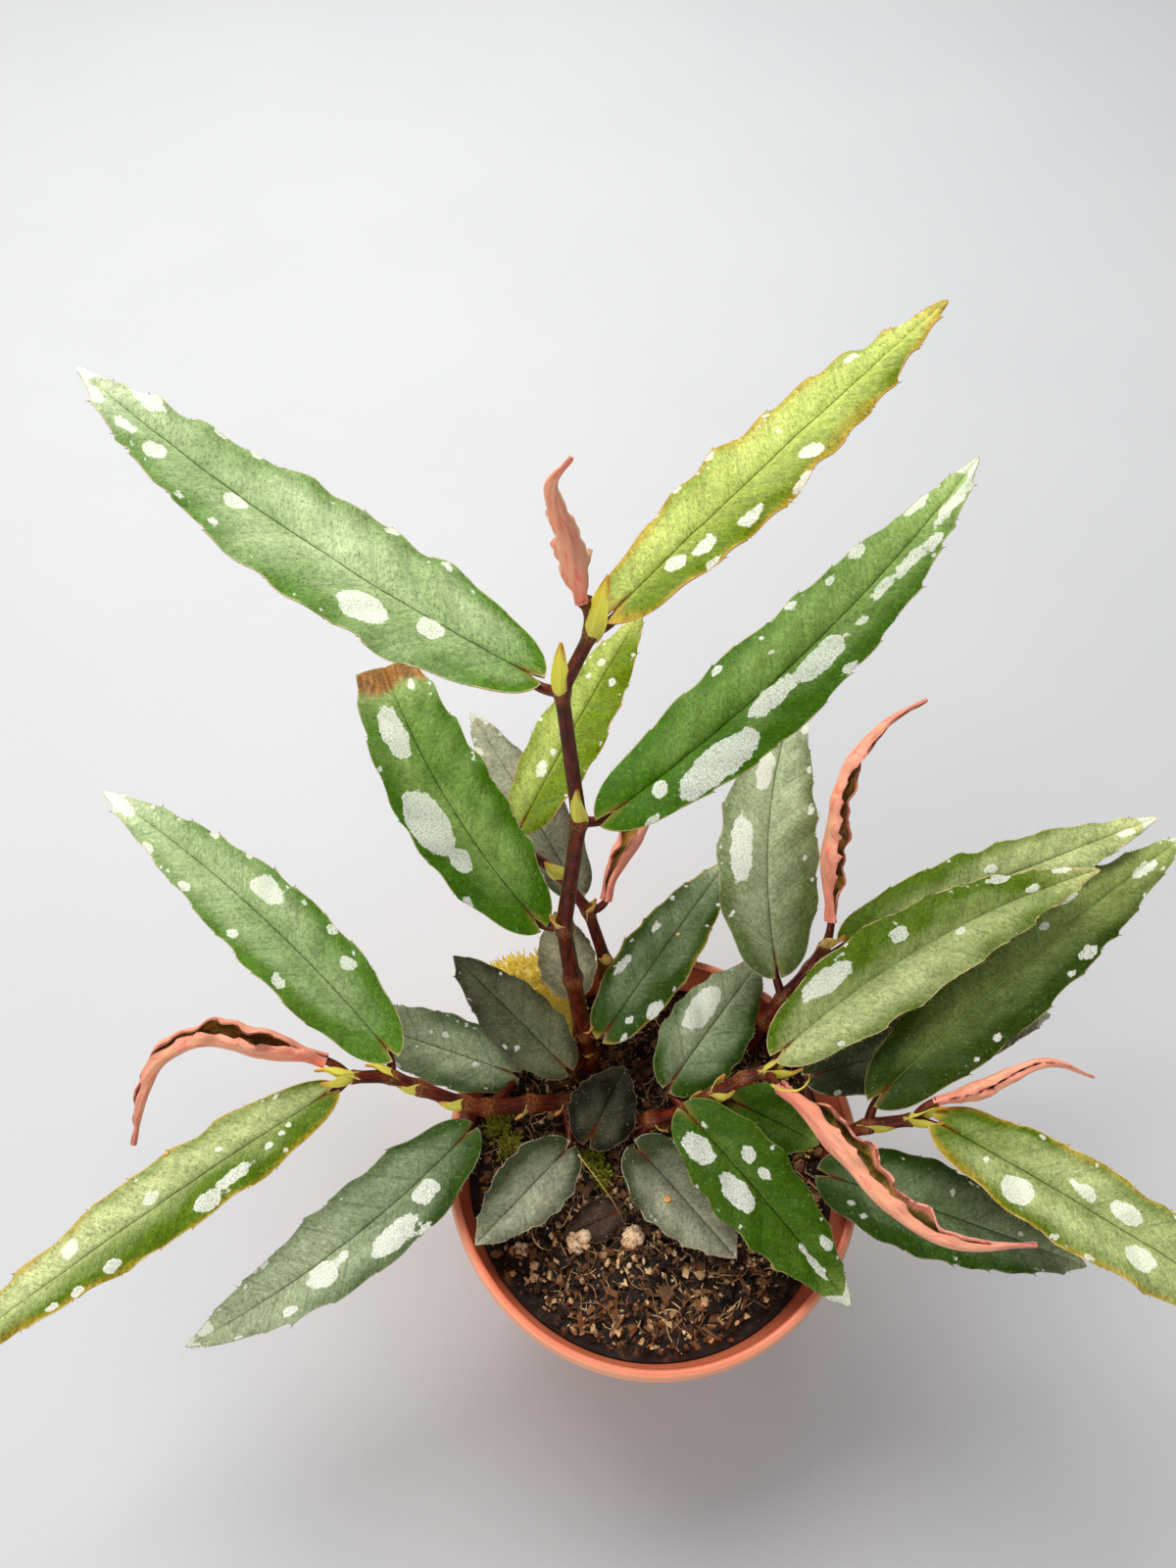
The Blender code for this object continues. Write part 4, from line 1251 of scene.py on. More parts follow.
    def build(self, skin: bpy.types.Material, paper: bpy.types.Material) -> bpy.types.Object:
        """Make the stem with its stalks, and its stipules as a second piece.

        Args:
            skin: the finish of stem and stalks.
            paper: the finish of the stipules.

        Returns:
            The stem's piece.
        """
        patches = [self.stem()] + [self.stalk(*place) for place in self.stalks]
        piece = make_piece(self.name + "_stem", joined(patches), skin, sharp=60)
        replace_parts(piece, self.name)
        scales = [self.stipule(*place) for place in self.stipules]
        make_piece(self.name + "_stipules", joined(scales), paper)
        return piece


@dataclass
class Pot:
    """The tapered pot: a turned wall with a ridged lip and holes in its floor."""
    height: float = 70.0
    rim_radius: float = 40.0
    base_radius: float = 27.5
    wall: float = 1.2
    floor: float = 1.6
    lip_height: float = 5.2
    lip_step: float = 1.3
    ridges: int = 4
    ridge_depth: float = 0.3
    holes: int = 5
    hole_radius: float = 3.5
    hole_ring: float = 17.0
    segments: int = 160

    def outline(self) -> Array:
        """Radius and height from the middle of the underside, out, over the lip and back inside.

        The lip's outside is a cosine in height. Round corners are quarter circles.
        """
        lip_low = self.height - self.lip_height
        under_lip = self.rim_radius - self.lip_step
        quarter = np.linspace(0, np.pi / 2, 6)
        foot = np.stack([self.base_radius - 1.4 + 1.4 * np.sin(quarter), 1.4 - 1.4 * np.cos(quarter)], -1)
        rise = np.linspace(0.06, 1, 12)[:, None]
        wall = foot[-1] + (np.array([under_lip, lip_low - 0.9]) - foot[-1]) * rise
        heights = np.linspace(lip_low, self.height - 0.6, 33)
        phase = (heights - lip_low) / (self.lip_height - 0.6) * self.ridges * 2 * np.pi
        lip = np.stack([self.rim_radius - 0.1 - self.ridge_depth * (0.5 + 0.5 * np.cos(phase)), heights], -1)
        top = np.array([self.rim_radius - 1.1, self.height - 0.6])
        round_out = np.stack([top[0] + 0.7 * np.cos(quarter), top[1] + 0.6 * np.sin(quarter)], -1)
        round_in = np.stack([top[0] - 1.0 * np.sin(quarter), top[1] + 0.6 * np.cos(quarter)], -1)
        inner_lip = np.array([[self.rim_radius - 2.1, lip_low], [under_lip - self.wall, lip_low - 1.4]])
        low = np.array([self.base_radius - self.wall, self.floor + 1.0])
        inner = inner_lip[-1] + (low - inner_lip[-1]) * np.linspace(0.1, 1, 12)[:, None]
        floor = np.array([[low[0] - 1.0, self.floor], [0.0, self.floor]])
        return np.concatenate([[[0.0, 0.0]], foot, wall, lip, round_out[1:], round_in[1:], inner_lip, inner,
                               floor])

    def shell(self) -> Patch:
        """Turn the outline about Z: each point is (r cos a, r sin a, h), and the axis points cap it."""
        outline = self.outline()
        rings = outline[1:-1]
        turn = np.arange(self.segments) * 2 * math.pi / self.segments
        points = np.stack([rings[:, :1] * np.cos(turn), rings[:, :1] * np.sin(turn),
                           rings[:, 1:] + 0 * turn], -1).reshape(-1, 3)
        ends = np.array([[0, 0, outline[0, 1]], [0, 0, outline[-1, 1]]])
        return Patch(np.concatenate([points, ends]), tube_faces(len(rings), self.segments))

    def drill(self) -> bpy.types.Object:
        """A row of plugs, one through each hole of the floor."""
        turn = np.arange(32) * 2 * math.pi / 32
        plugs = []
        for i in range(self.holes):
            about = 2 * math.pi * i / self.holes
            centre = self.hole_ring * np.array([math.cos(about), math.sin(about)])
            rings = [np.column_stack([centre[0] + self.hole_radius * np.cos(turn),
                                      centre[1] + self.hole_radius * np.sin(turn), np.full(32, h)])
                     for h in (-2.0, self.floor + 2.0)]
            ends = np.array([[*centre, -2.0], [*centre, self.floor + 2.0]])
            plugs.append(Patch(np.concatenate(rings + [ends]), tube_faces(2, 32)))
        patch = joined(plugs)
        mesh = bpy.data.meshes.new("drill")
        mesh.from_pydata((patch.points * MM).tolist(), [],
                         [[v for v in face if v >= 0] for face in patch.faces.tolist()])
        made = bpy.data.objects.new("drill", mesh)
        bpy.context.scene.collection.objects.link(made)
        return made

    def build(self, material: bpy.types.Material) -> bpy.types.Object:
        """Make the pot and cut its drain holes.

        Args:
            material: the finish.

        Returns:
            The piece.
        """
        piece = make_piece("pot_shell", self.shell(), material, sharp=50)
        drill = self.drill()
        holes = piece.modifiers.new("holes", "BOOLEAN")
        holes.operation = "DIFFERENCE"
        holes.solver = "EXACT"
        holes.object = drill
        bpy.context.view_layer.update()
        graph = bpy.context.evaluated_depsgraph_get()
        cut = bpy.data.meshes.new_from_object(piece.evaluated_get(graph))
        piece.modifiers.clear()
        piece.data = cut
        bpy.data.objects.remove(drill, do_unlink=True)
        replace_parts(piece, "pot")
        return piece

    def inner_radius(self, height: float) -> float:
        """The inside radius at a height below the lip."""
        top = self.height - self.lip_height - 1.4
        share = (height - self.floor - 1.0) / (top - self.floor - 1.0)
        low = self.base_radius - self.wall
        return low + (self.rim_radius - self.lip_step - self.wall - low) * min(share, 1.0)


def soil_height(x: Array, y: Array) -> Array:
    """The soil's surface: a low mound, crumbs as sums of sines, flatter against the wall."""
    radius = np.hypot(x, y)
    crumbs = (0.55 * np.sin(0.9 * x + 1.3) * np.sin(0.8 * y) + 0.4 * np.sin(1.7 * x - 0.9 * y)
              + 0.3 * np.sin(2.3 * y + 0.6 * x))
    return 60.0 + 1.2 * np.cos(radius / 24.0) - 1.0 + crumbs * np.clip((37 - radius) / 6, 0, 1)


def turned_copies(points: Array, faces: Array, turns: Array, places: Array, jitter: Array,
                  values: dict[str, Array]) -> Patch:
    """Place many copies of one small shape.

    Each copy's point is its turn matrix times (the shape's point times the copy's jitter), plus
    its place.

    Args:
        points: the shape's points, k of them.
        faces: its faces.
        turns: n matrices, which scale too.
        places: n points.
        jitter: n by k factors.
        values: n values for each name, one for a copy.

    Returns:
        All the copies as one patch.
    """
    moved = np.einsum("nij,nkj->nki", turns, points[None] * jitter[..., None]) + places[:, None, :]
    starts = (np.arange(len(places)) * len(points))[:, None, None]
    all_faces = np.where(faces[None] < 0, -1, faces[None] + starts).reshape(-1, 4)
    spread = {key: np.repeat(data, len(points), axis=0) for key, data in values.items()}
    return Patch(moved.reshape(-1, 3), all_faces, spread)


def random_turns(draw: np.random.Generator, count: int) -> Array:
    """Random rotations, from the two first columns of random vectors made square."""
    first = unit(draw.normal(size=(count, 3)))
    second = draw.normal(size=(count, 3))
    second = unit(second - first * np.sum(first * second, 1, keepdims=True))
    return np.stack([first, second, np.cross(first, second)], -1)


def ball(rows: int, columns: int) -> tuple[Array, Array]:
    """A unit ball of rings: (sin p cos a, sin p sin a, cos p), closed by a point at each pole."""
    polar = np.linspace(np.pi, 0, rows + 2)[1:-1]
    turn = np.arange(columns) * 2 * np.pi / columns
    rings = np.stack([np.sin(polar)[:, None] * np.cos(turn), np.sin(polar)[:, None] * np.sin(turn),
                      np.cos(polar)[:, None] + 0 * turn], -1).reshape(-1, 3)
    return np.concatenate([rings, [[0, 0, -1.0], [0, 0, 1.0]]]), tube_faces(rows, columns)


@dataclass
class Soil:
    """The potting mix: its bed, and the crumbs, fibres, chips and perlite on it."""
    pot: Pot
    edge_gap: float = 0.35
    rings: int = 120
    segments: int = 300
    crumbs: int = 3600
    fibres: int = 1500
    chips: int = 700
    grains: int = 110
    lumps: tuple = ((-14.5, -15.3, 2.6), (-3.7, -14.8, 2.3), (-25.8, -17.1, 1.9), (9.0, -21.0, 0.9),
                    (4.0, -17.5, 0.9), (19.0, -19.0, 1.2))

    def edge_radius(self) -> float:
        """Where the soil's surface meets the wall."""
        return self.pot.inner_radius(float(soil_height(np.array(36.0), np.array(0.0)))) - self.edge_gap

    def surface(self, x: Array, y: Array) -> Array:
        """Height of the rough surface: the CAD's mound plus three sizes of noise."""
        flat = np.stack([x, y, 0 * x], -1)
        rough = (0.7 * cloud(flat, 3.1, 5) + 0.5 * np.abs(cloud(flat, 1.5, 8)) + 0.3 * cloud(flat, 0.75, 13))
        fade = np.clip((self.edge_radius() - np.hypot(x, y)) / 1.5, 0, 1)
        return soil_height(x, y) + rough * fade - 0.2

    def bed(self) -> Patch:
        """The soil's body: its underside, its slanted wall, and rings of the rough surface."""
        edge = self.edge_radius()
        low = self.pot.floor + 1.3
        bottom = self.pot.inner_radius(low) - 1.6
        turn = np.arange(self.segments) * 2 * np.pi / self.segments
        radii = edge * np.linspace(1, 0.004, self.rings)
        x, y = radii[:, None] * np.cos(turn), radii[:, None] * np.sin(turn)
        top = np.stack([x, y, self.surface(x, y)], -1)
        foot = np.stack([bottom * np.cos(turn), bottom * np.sin(turn),
                         np.full(self.segments, self.pot.floor + self.edge_gap)], -1)[None]
        points = np.concatenate([foot, top]).reshape(-1, 3)
        middle = self.surface(np.array([0.0]), np.array([0.0]))[0]
        ends = np.array([[0, 0, self.pot.floor + self.edge_gap], [0, 0, middle]])
        points = np.concatenate([points, ends])
        tone = 0.12 + 0.2 * cloud(points, 2.0, 3) + 0.2 * cloud(points, 0.9, 4)
        return Patch(points, tube_faces(self.rings + 1, self.segments), {"tone": tone})

    def scatter(self, draw: np.random.Generator, count: int, margin: float = 1.0) -> Array:
        """Random places on the surface, evenly over its area."""
        radius = (self.edge_radius() - margin) * np.sqrt(draw.uniform(0, 1, count))
        about = draw.uniform(0, 2 * np.pi, count)
        x, y = radius * np.cos(about), radius * np.sin(about)
        return np.stack([x, y, self.surface(x, y)], -1)

    def crumb_patch(self) -> Patch:
        """Peat crumbs: small angular lumps half sunk in the surface."""
        draw = np.random.default_rng(11)
        points, faces = ball(2, 5)
        size = 0.3 + 0.95 * draw.uniform(0, 1, self.crumbs) ** 3
        squash = draw.uniform(0.4, 1.35, (self.crumbs, 3)) * size[:, None]
        turns = random_turns(draw, self.crumbs) * squash[:, None, :]
        jitter = draw.uniform(0.6, 1.4, (self.crumbs, len(points)))
        tone = np.clip(draw.normal(0.38, 0.32, self.crumbs), 0, 1)
        return turned_copies(points, faces, turns, self.scatter(draw, self.crumbs), jitter, {"tone": tone})

    def chip_patch(self) -> Patch:
        """Bark chips: flat angular slabs that lie about."""
        draw = np.random.default_rng(12)
        corners = np.array(list(product((-1, 1), repeat=3)), float)
        faces = np.array([[0, 1, 3, 2], [4, 6, 7, 5], [0, 4, 5, 1], [2, 3, 7, 6], [0, 2, 6, 4], [1, 5, 7, 3]])
        tone = np.clip(draw.choice([0.3, 0.55, 0.95], self.chips, p=[0.5, 0.32, 0.18])
                       + draw.normal(0, 0.08, self.chips), 0, 1.1)
        pale_small = 1 - 0.4 * (tone > 0.75)
        size = np.stack([draw.uniform(0.5, 1.7, self.chips) * pale_small,
                         draw.uniform(0.15, 0.55, self.chips), draw.uniform(0.1, 0.26, self.chips)], -1)
        about = draw.uniform(0, 2 * np.pi, self.chips)
        zero = np.zeros(self.chips)
        flat = np.stack([np.stack([np.cos(about), -np.sin(about), zero], -1),
                         np.stack([np.sin(about), np.cos(about), zero], -1),
                         np.stack([zero, zero, zero + 1], -1)], 1)
        tilt = np.eye(3) + draw.normal(0, 0.25, (self.chips, 3, 3))
        turns = (tilt @ flat) * size[:, None, :]
        flipped = np.linalg.det(turns) < 0
        turns[flipped, :, 2] *= -1
        jitter = draw.uniform(0.7, 1.2, (self.chips, 8))
        places = self.scatter(draw, self.chips, 2.5) + [0, 0, 0.25]
        return turned_copies(corners, faces, turns, places, jitter, {"tone": tone})

    def fibre_patch(self) -> Patch:
        """Root and straw fibres: thin three-sided tubes on random curves along the surface.

        A fibre's heading turns evenly along its length, and it lies a little above the soil.
        """
        draw = np.random.default_rng(13)
        rings, sides = 7, 3
        start = self.scatter(draw, self.fibres, 4.0)
        length = 1.5 + 6.5 * draw.uniform(0, 1, self.fibres) ** 2
        heading = draw.uniform(0, 2 * np.pi, self.fibres)
        bend = draw.normal(0, 0.7, self.fibres)
        t = np.linspace(-0.5, 0.5, rings)
        angle = heading[:, None] + bend[:, None] * t
        x = start[:, :1] + length[:, None] * t * np.cos(angle)
        y = start[:, 1:2] + length[:, None] * t * np.sin(angle)
        lift = draw.uniform(0.0, 0.5, (self.fibres, 1)) + draw.normal(0, 0.35, (self.fibres, 1)) * t * 2
        limit = (self.edge_radius() - 0.6) / np.maximum(np.hypot(x, y), 1e-6)
        x, y = x * np.minimum(limit, 1), y * np.minimum(limit, 1)
        z = self.surface(x, y) * 0.5 + (start[:, 2:] + 0 * x) * 0.5 + lift + 0.1
        path = np.stack([x, y, z], -1)
        ahead = unit(np.gradient(path, axis=1))
        across = unit(np.cross(ahead, [0.0, 0.0, 1.0]))
        above = np.cross(across, ahead)
        radius = (draw.uniform(0.06, 0.17, (self.fibres, 1)) * (1 - 1.2 * np.abs(t) ** 2))[..., None, None]
        about = np.arange(sides) * 2 * np.pi / sides
        ring = (across[:, :, None, :] * np.cos(about)[None, None, :, None]
                - above[:, :, None, :] * np.sin(about)[None, None, :, None])
        points = (path[:, :, None, :] + ring * radius).reshape(self.fibres, -1, 3)
        points = np.concatenate([points, path[:, :1], path[:, -1:]], 1)
        faces = tube_faces(rings, sides)
        starts = (np.arange(self.fibres) * points.shape[1])[:, None, None]
        all_faces = np.where(faces[None] < 0, -1, faces[None] + starts).reshape(-1, 4)
        tone = np.clip(draw.choice([0.35, 0.7, 1.0], self.fibres, p=[0.45, 0.32, 0.23]), 0, 1)
        return Patch(points.reshape(-1, 3), all_faces, {"tone": np.repeat(tone, points.shape[1])})

    def perlite_patch(self) -> Patch:
        """Perlite: lumps that are each a cluster of uneven granules, and small loose grains."""
        draw = np.random.default_rng(14)
        points, faces = ball(5, 9)
        places, sizes = [], []
        for x, y, radius in self.lumps:
            height = float(self.surface(np.array([x]), np.array([y]))[0])
            count = int(6 + radius * 10)
            about = unit(draw.normal(size=(count, 3))) * radius * draw.uniform(0.35, 0.85, (count, 1))
            places.append(about * [1, 0.9, 0.7] + [x, y, height + radius * 0.35])
            sizes.append(radius * draw.uniform(0.2, 0.46, count))
        places.append(self.scatter(draw, self.grains, 2.0) + [0, 0, 0.2])
        sizes.append(draw.uniform(0.2, 0.65, self.grains))
        places, sizes = np.concatenate(places), np.concatenate(sizes)
        stretch = draw.uniform(0.7, 1.2, (len(sizes), 3)) * sizes[:, None]
        turns = random_turns(draw, len(sizes)) * stretch[:, None]
        jitter = draw.uniform(0.82, 1.18, (len(sizes), len(points)))
        return turned_copies(points, faces, turns, places, jitter, {"tone": draw.uniform(0, 1, len(sizes))})

    def build(self, peat: bpy.types.Material, perlite: bpy.types.Material) -> None:
        """Make the bed, which stands for the CAD's soil, and what lies on it.

        Args:
            peat: the finish of bed, crumbs, chips and fibres.
            perlite: the finish of the perlite.
        """
        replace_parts(make_piece("soil_bed", self.bed(), peat, sharp=70), "soil")
        make_piece("soil_crumbs", self.crumb_patch(), peat, sharp=32)
        make_piece("soil_chips", self.chip_patch(), peat)
        make_piece("soil_fibres", self.fibre_patch(), peat, sharp=70)
        make_piece("soil_perlite", self.perlite_patch(), perlite, sharp=70)


@dataclass
class Moss:
    """Tufts of moss on the soil, and a dense yellow cushion that has grown over the rim.

    Each tuft is its middle, spread, height, how yellow it is and how far it leans towards the
    wall. Each part of the cushion is its middle, its reach along the three axes and its shoots.
    """
    soil: Soil
    tufts: tuple = ((-30.5, 6.5, 2.6, 3.0, 0.1, 0.2), (-28.0, 2.0, 2.4, 3.2, 0.2, 0.0),
                    (-26.0, -2.0, 1.8, 2.2, 0.35, 0.0), (-11.5, -0.5, 1.8, 3.4, 0.0, 0.0),
                    (-10.0, -3.5, 1.6, 3.0, 0.1, 0.0), (31.0, 4.0, 2.6, 3.0, 0.7, 0.3),
                    (-4.0, 34.0, 3.0, 4.0, 0.8, 0.3))
    cushions: tuple = (((-21.0, 28.5, 62.5), (8.0, 6.5, 6.0), 150),
                       ((-27.0, 32.5, 67.5), (6.5, 6.5, 7.0), 320),
                       ((-21.0, 35.0, 66.5), (5.0, 5.0, 6.5), 180))
    shoots: int = 110

    def tuft(self, draw: np.random.Generator, x: float, y: float, spread: float, height: float,
             leaning: float) -> tuple[Array, Array, Array]:
        """Shoots that stand on the soil and lean outwards from the middle of their tuft.

        Args:
            draw: the random numbers.
            x, y: the tuft's middle.
            spread: how far it reaches.
            height: how tall its shoots are.
            leaning: how far they lean towards the wall.

        Returns:
            Their feet, directions and lengths.
        """
        offset = draw.normal(0, 0.42, (self.shoots, 2)) * spread
        ground = np.stack([x + offset[:, 0], y + offset[:, 1]], -1)
        reach = np.linalg.norm(ground, axis=1, keepdims=True)
        ground = ground * np.minimum(1, (self.soil.edge_radius() - 1.5) / reach)
        far = np.linalg.norm(offset, axis=1) / spread
        tall = height * draw.uniform(0.7, 1.7, self.shoots) * np.clip(1.3 - far, 0.4, 1)
        foot = np.stack([ground[:, 0], ground[:, 1], self.soil.surface(ground[:, 0], ground[:, 1])], -1)
        outward = np.array([x, y, 0.0]) / math.hypot(x, y) * leaning
        lean = np.stack([offset[:, 0], offset[:, 1], 0 * far], -1) / spread * 0.4 + outward
        return foot, unit(lean + [0, 0, 1.0] + draw.normal(0, 0.15, (self.shoots, 3))), tall

    @staticmethod
    def cushion(draw: np.random.Generator, middle: Point, reach: Point, shoots: int
                ) -> tuple[Array, Array, Array]:
        """Shoots that stand all over the upper side of an ellipsoid, along its normal and up."""
        out = unit(draw.normal(size=(shoots, 3)) + [0, 0, 0.35])
        foot = np.array(middle) + out * np.array(reach) * 0.9
        axis = unit(out / np.array(reach) * 4 + [0, 0, 0.4] + draw.normal(0, 0.3, (shoots, 3)))
        return foot, axis, draw.uniform(0.8, 2.8, shoots)

    @staticmethod
    def leafy(draw: np.random.Generator, foot: Array, axis: Array, tall: Array, tone: float,
              leaflets: int, large: float) -> Patch:
        """Clothe shoots in leaflets.

        The leaflets are long double pyramids that wind up a shoot by the golden angle, point up
        and out, and shorten towards its top.

        Args:
            draw: the random numbers.
            foot, axis, tall: the shoots' feet, directions and lengths.
            tone: how yellow they are.
            leaflets: how many each has.
            large: how large they are.

        Returns:
            The leaflets.
        """
        shape = np.array([[0, 0, 0], [0.2, 0.1, 0.45], [-0.2, 0.1, 0.45], [0, -0.1, 0.45], [0, 0.25, 1.05]])
        faces = np.array([[0, 2, 1, -1], [0, 3, 2, -1], [0, 1, 3, -1], [4, 1, 2, -1], [4, 2, 3, -1],
                          [4, 3, 1, -1]])
        places, turns, tones = [], [], []
        count = len(tall)
        for k in range(leaflets):
            share = k / (leaflets - 1)
            about = 2.4 * k + draw.uniform(0, 6.3, count)
            side = unit(np.stack([np.cos(about), np.sin(about), 0 * about], -1))
            up = unit(axis * (0.55 + share) + side * (1.1 - 0.8 * share))
            across = unit(np.cross(up, side + 1e-3))
            size = (1.0 - 0.4 * share) * draw.uniform(0.7, 1.2, count) * large
            turns.append(np.stack([across, np.cross(up, across), up], -1) * size[:, None, None])
            places.append(foot + axis * (tall * share)[:, None])
            tones.append(np.clip(tone + 0.25 * share + draw.normal(0, 0.15, count), 0, 1.1))
        turns, places = np.concatenate(turns), np.concatenate(places)
        return turned_copies(shape, faces, turns, places, np.ones((len(places), len(shape))),
                             {"tone": np.concatenate(tones)})

    def build(self, material: bpy.types.Material) -> bpy.types.Object:
        """Make the tufts and the cushion, whose heart is a lumpy ball under the shoots.

        Args:
            material: the finish.

        Returns:
            The piece.
        """
        draw = np.random.default_rng(21)
        patches = []
        for x, y, spread, height, tone, leaning in self.tufts:
            shoots = self.tuft(draw, x, y, spread, height, leaning)
            patches.append(self.leafy(draw, *shoots, tone, 10 + int(height), 1.15))
        points, faces = ball(12, 20)
        for middle, reach, shoots in self.cushions:
            heart = np.array(middle) + points * np.array(reach) * 0.93
            heart = heart + points * 0.5 * cloud(heart, 1.6, 31)[:, None]
            patches.append(Patch(heart, faces, {"tone": 0.85 + 0.15 * cloud(heart, 1.2, 32)}))
            patches.append(self.leafy(draw, *self.cushion(draw, middle, reach, shoots), 0.95, 10, 1.35))
        return make_piece("moss_tufts", joined(patches), material)


@dataclass
class Studio:
    """The camera, a pale floor and soft lights."""
    pitch: float = 59.7
    focal_pixels: float = 1150.0
    long_side_pixels: float = 1600.0
    eye: Point = (-12.6, -49.1, 292.9)
    floor_reach: float = 3000.0
    sensor: float = 36.0

    def camera(self) -> None:
        """Make the camera: the lens is the focal length in pixels over the image's long side."""
        data = bpy.data.cameras.new("camera")
        data.sensor_width = self.sensor
        data.lens = self.focal_pixels / self.long_side_pixels * self.sensor
        data.clip_start, data.clip_end = 0.01, 20.0
        made = bpy.data.objects.new("camera", data)
        made.location = [value * MM for value in self.eye]
        made.rotation_euler = (math.radians(90 - self.pitch), 0.0, 0.0)
        bpy.context.scene.collection.objects.link(made)
        bpy.context.scene.camera = made

    def floor(self, material: bpy.types.Material) -> None:
        """Make the floor: a flat square just under the pot."""
        ticks = np.linspace(-1, 1, 9) * self.floor_reach
        x, y = np.meshgrid(ticks, ticks)
        points = np.stack([x, y, 0 * x - 0.05], -1).reshape(-1, 3)
        mesh = bpy.data.meshes.new("floor")
        mesh.from_pydata((points * MM).tolist(), [], grid_faces(9, 9).tolist())
        mesh.materials.append(material)
        made = bpy.data.objects.new("floor", mesh)
        bpy.context.scene.collection.objects.link(made)

    def lamp(self, name: str, place: Point, size: float, power: float, colour: Colour) -> None:
        """Add a square area light that faces the plant.

        Args:
            name: its name.
            place: where it hangs.
            size: its side.
            power: in watts.
            colour: its light.
        """
        data = bpy.data.lights.new(name, "AREA")
        data.shape = "SQUARE"
        data.size = size * MM
        data.energy = power
        data.color = colour
        made = bpy.data.objects.new(name, data)
        where = np.array(place)
        back = unit(where - np.array([0.0, 20.0, 80.0]))
        made.location = where * MM
        made.rotation_euler = (math.acos(back[2]), 0.0, math.atan2(back[1], back[0]) + math.pi / 2)
        bpy.context.scene.collection.objects.link(made)

    def world(self, strength: float) -> None:
        """Fill the room with an even pale light."""
        made = bpy.data.worlds.new("room")
        made.use_nodes = True
        background = made.node_tree.nodes["Background"]
        background.inputs["Color"].default_value = (0.93, 0.96, 1.0, 1.0)
        background.inputs["Strength"].default_value = strength
        bpy.context.scene.world = made

    def build(self) -> None:
        """Set the stage."""
        self.camera()
        self.floor(FloorFinish().build())
        self.lamp("softbox_back", (-180.0, 500.0, 820.0), 620.0, 9.5, (1.0, 0.99, 0.96))
        self.lamp("softbox_front", (-420.0, -560.0, 620.0), 600.0, 3.0, (1.0, 0.98, 0.95))
        self.world(0.27)
        bpy.context.scene.view_settings.view_transform = "Standard"


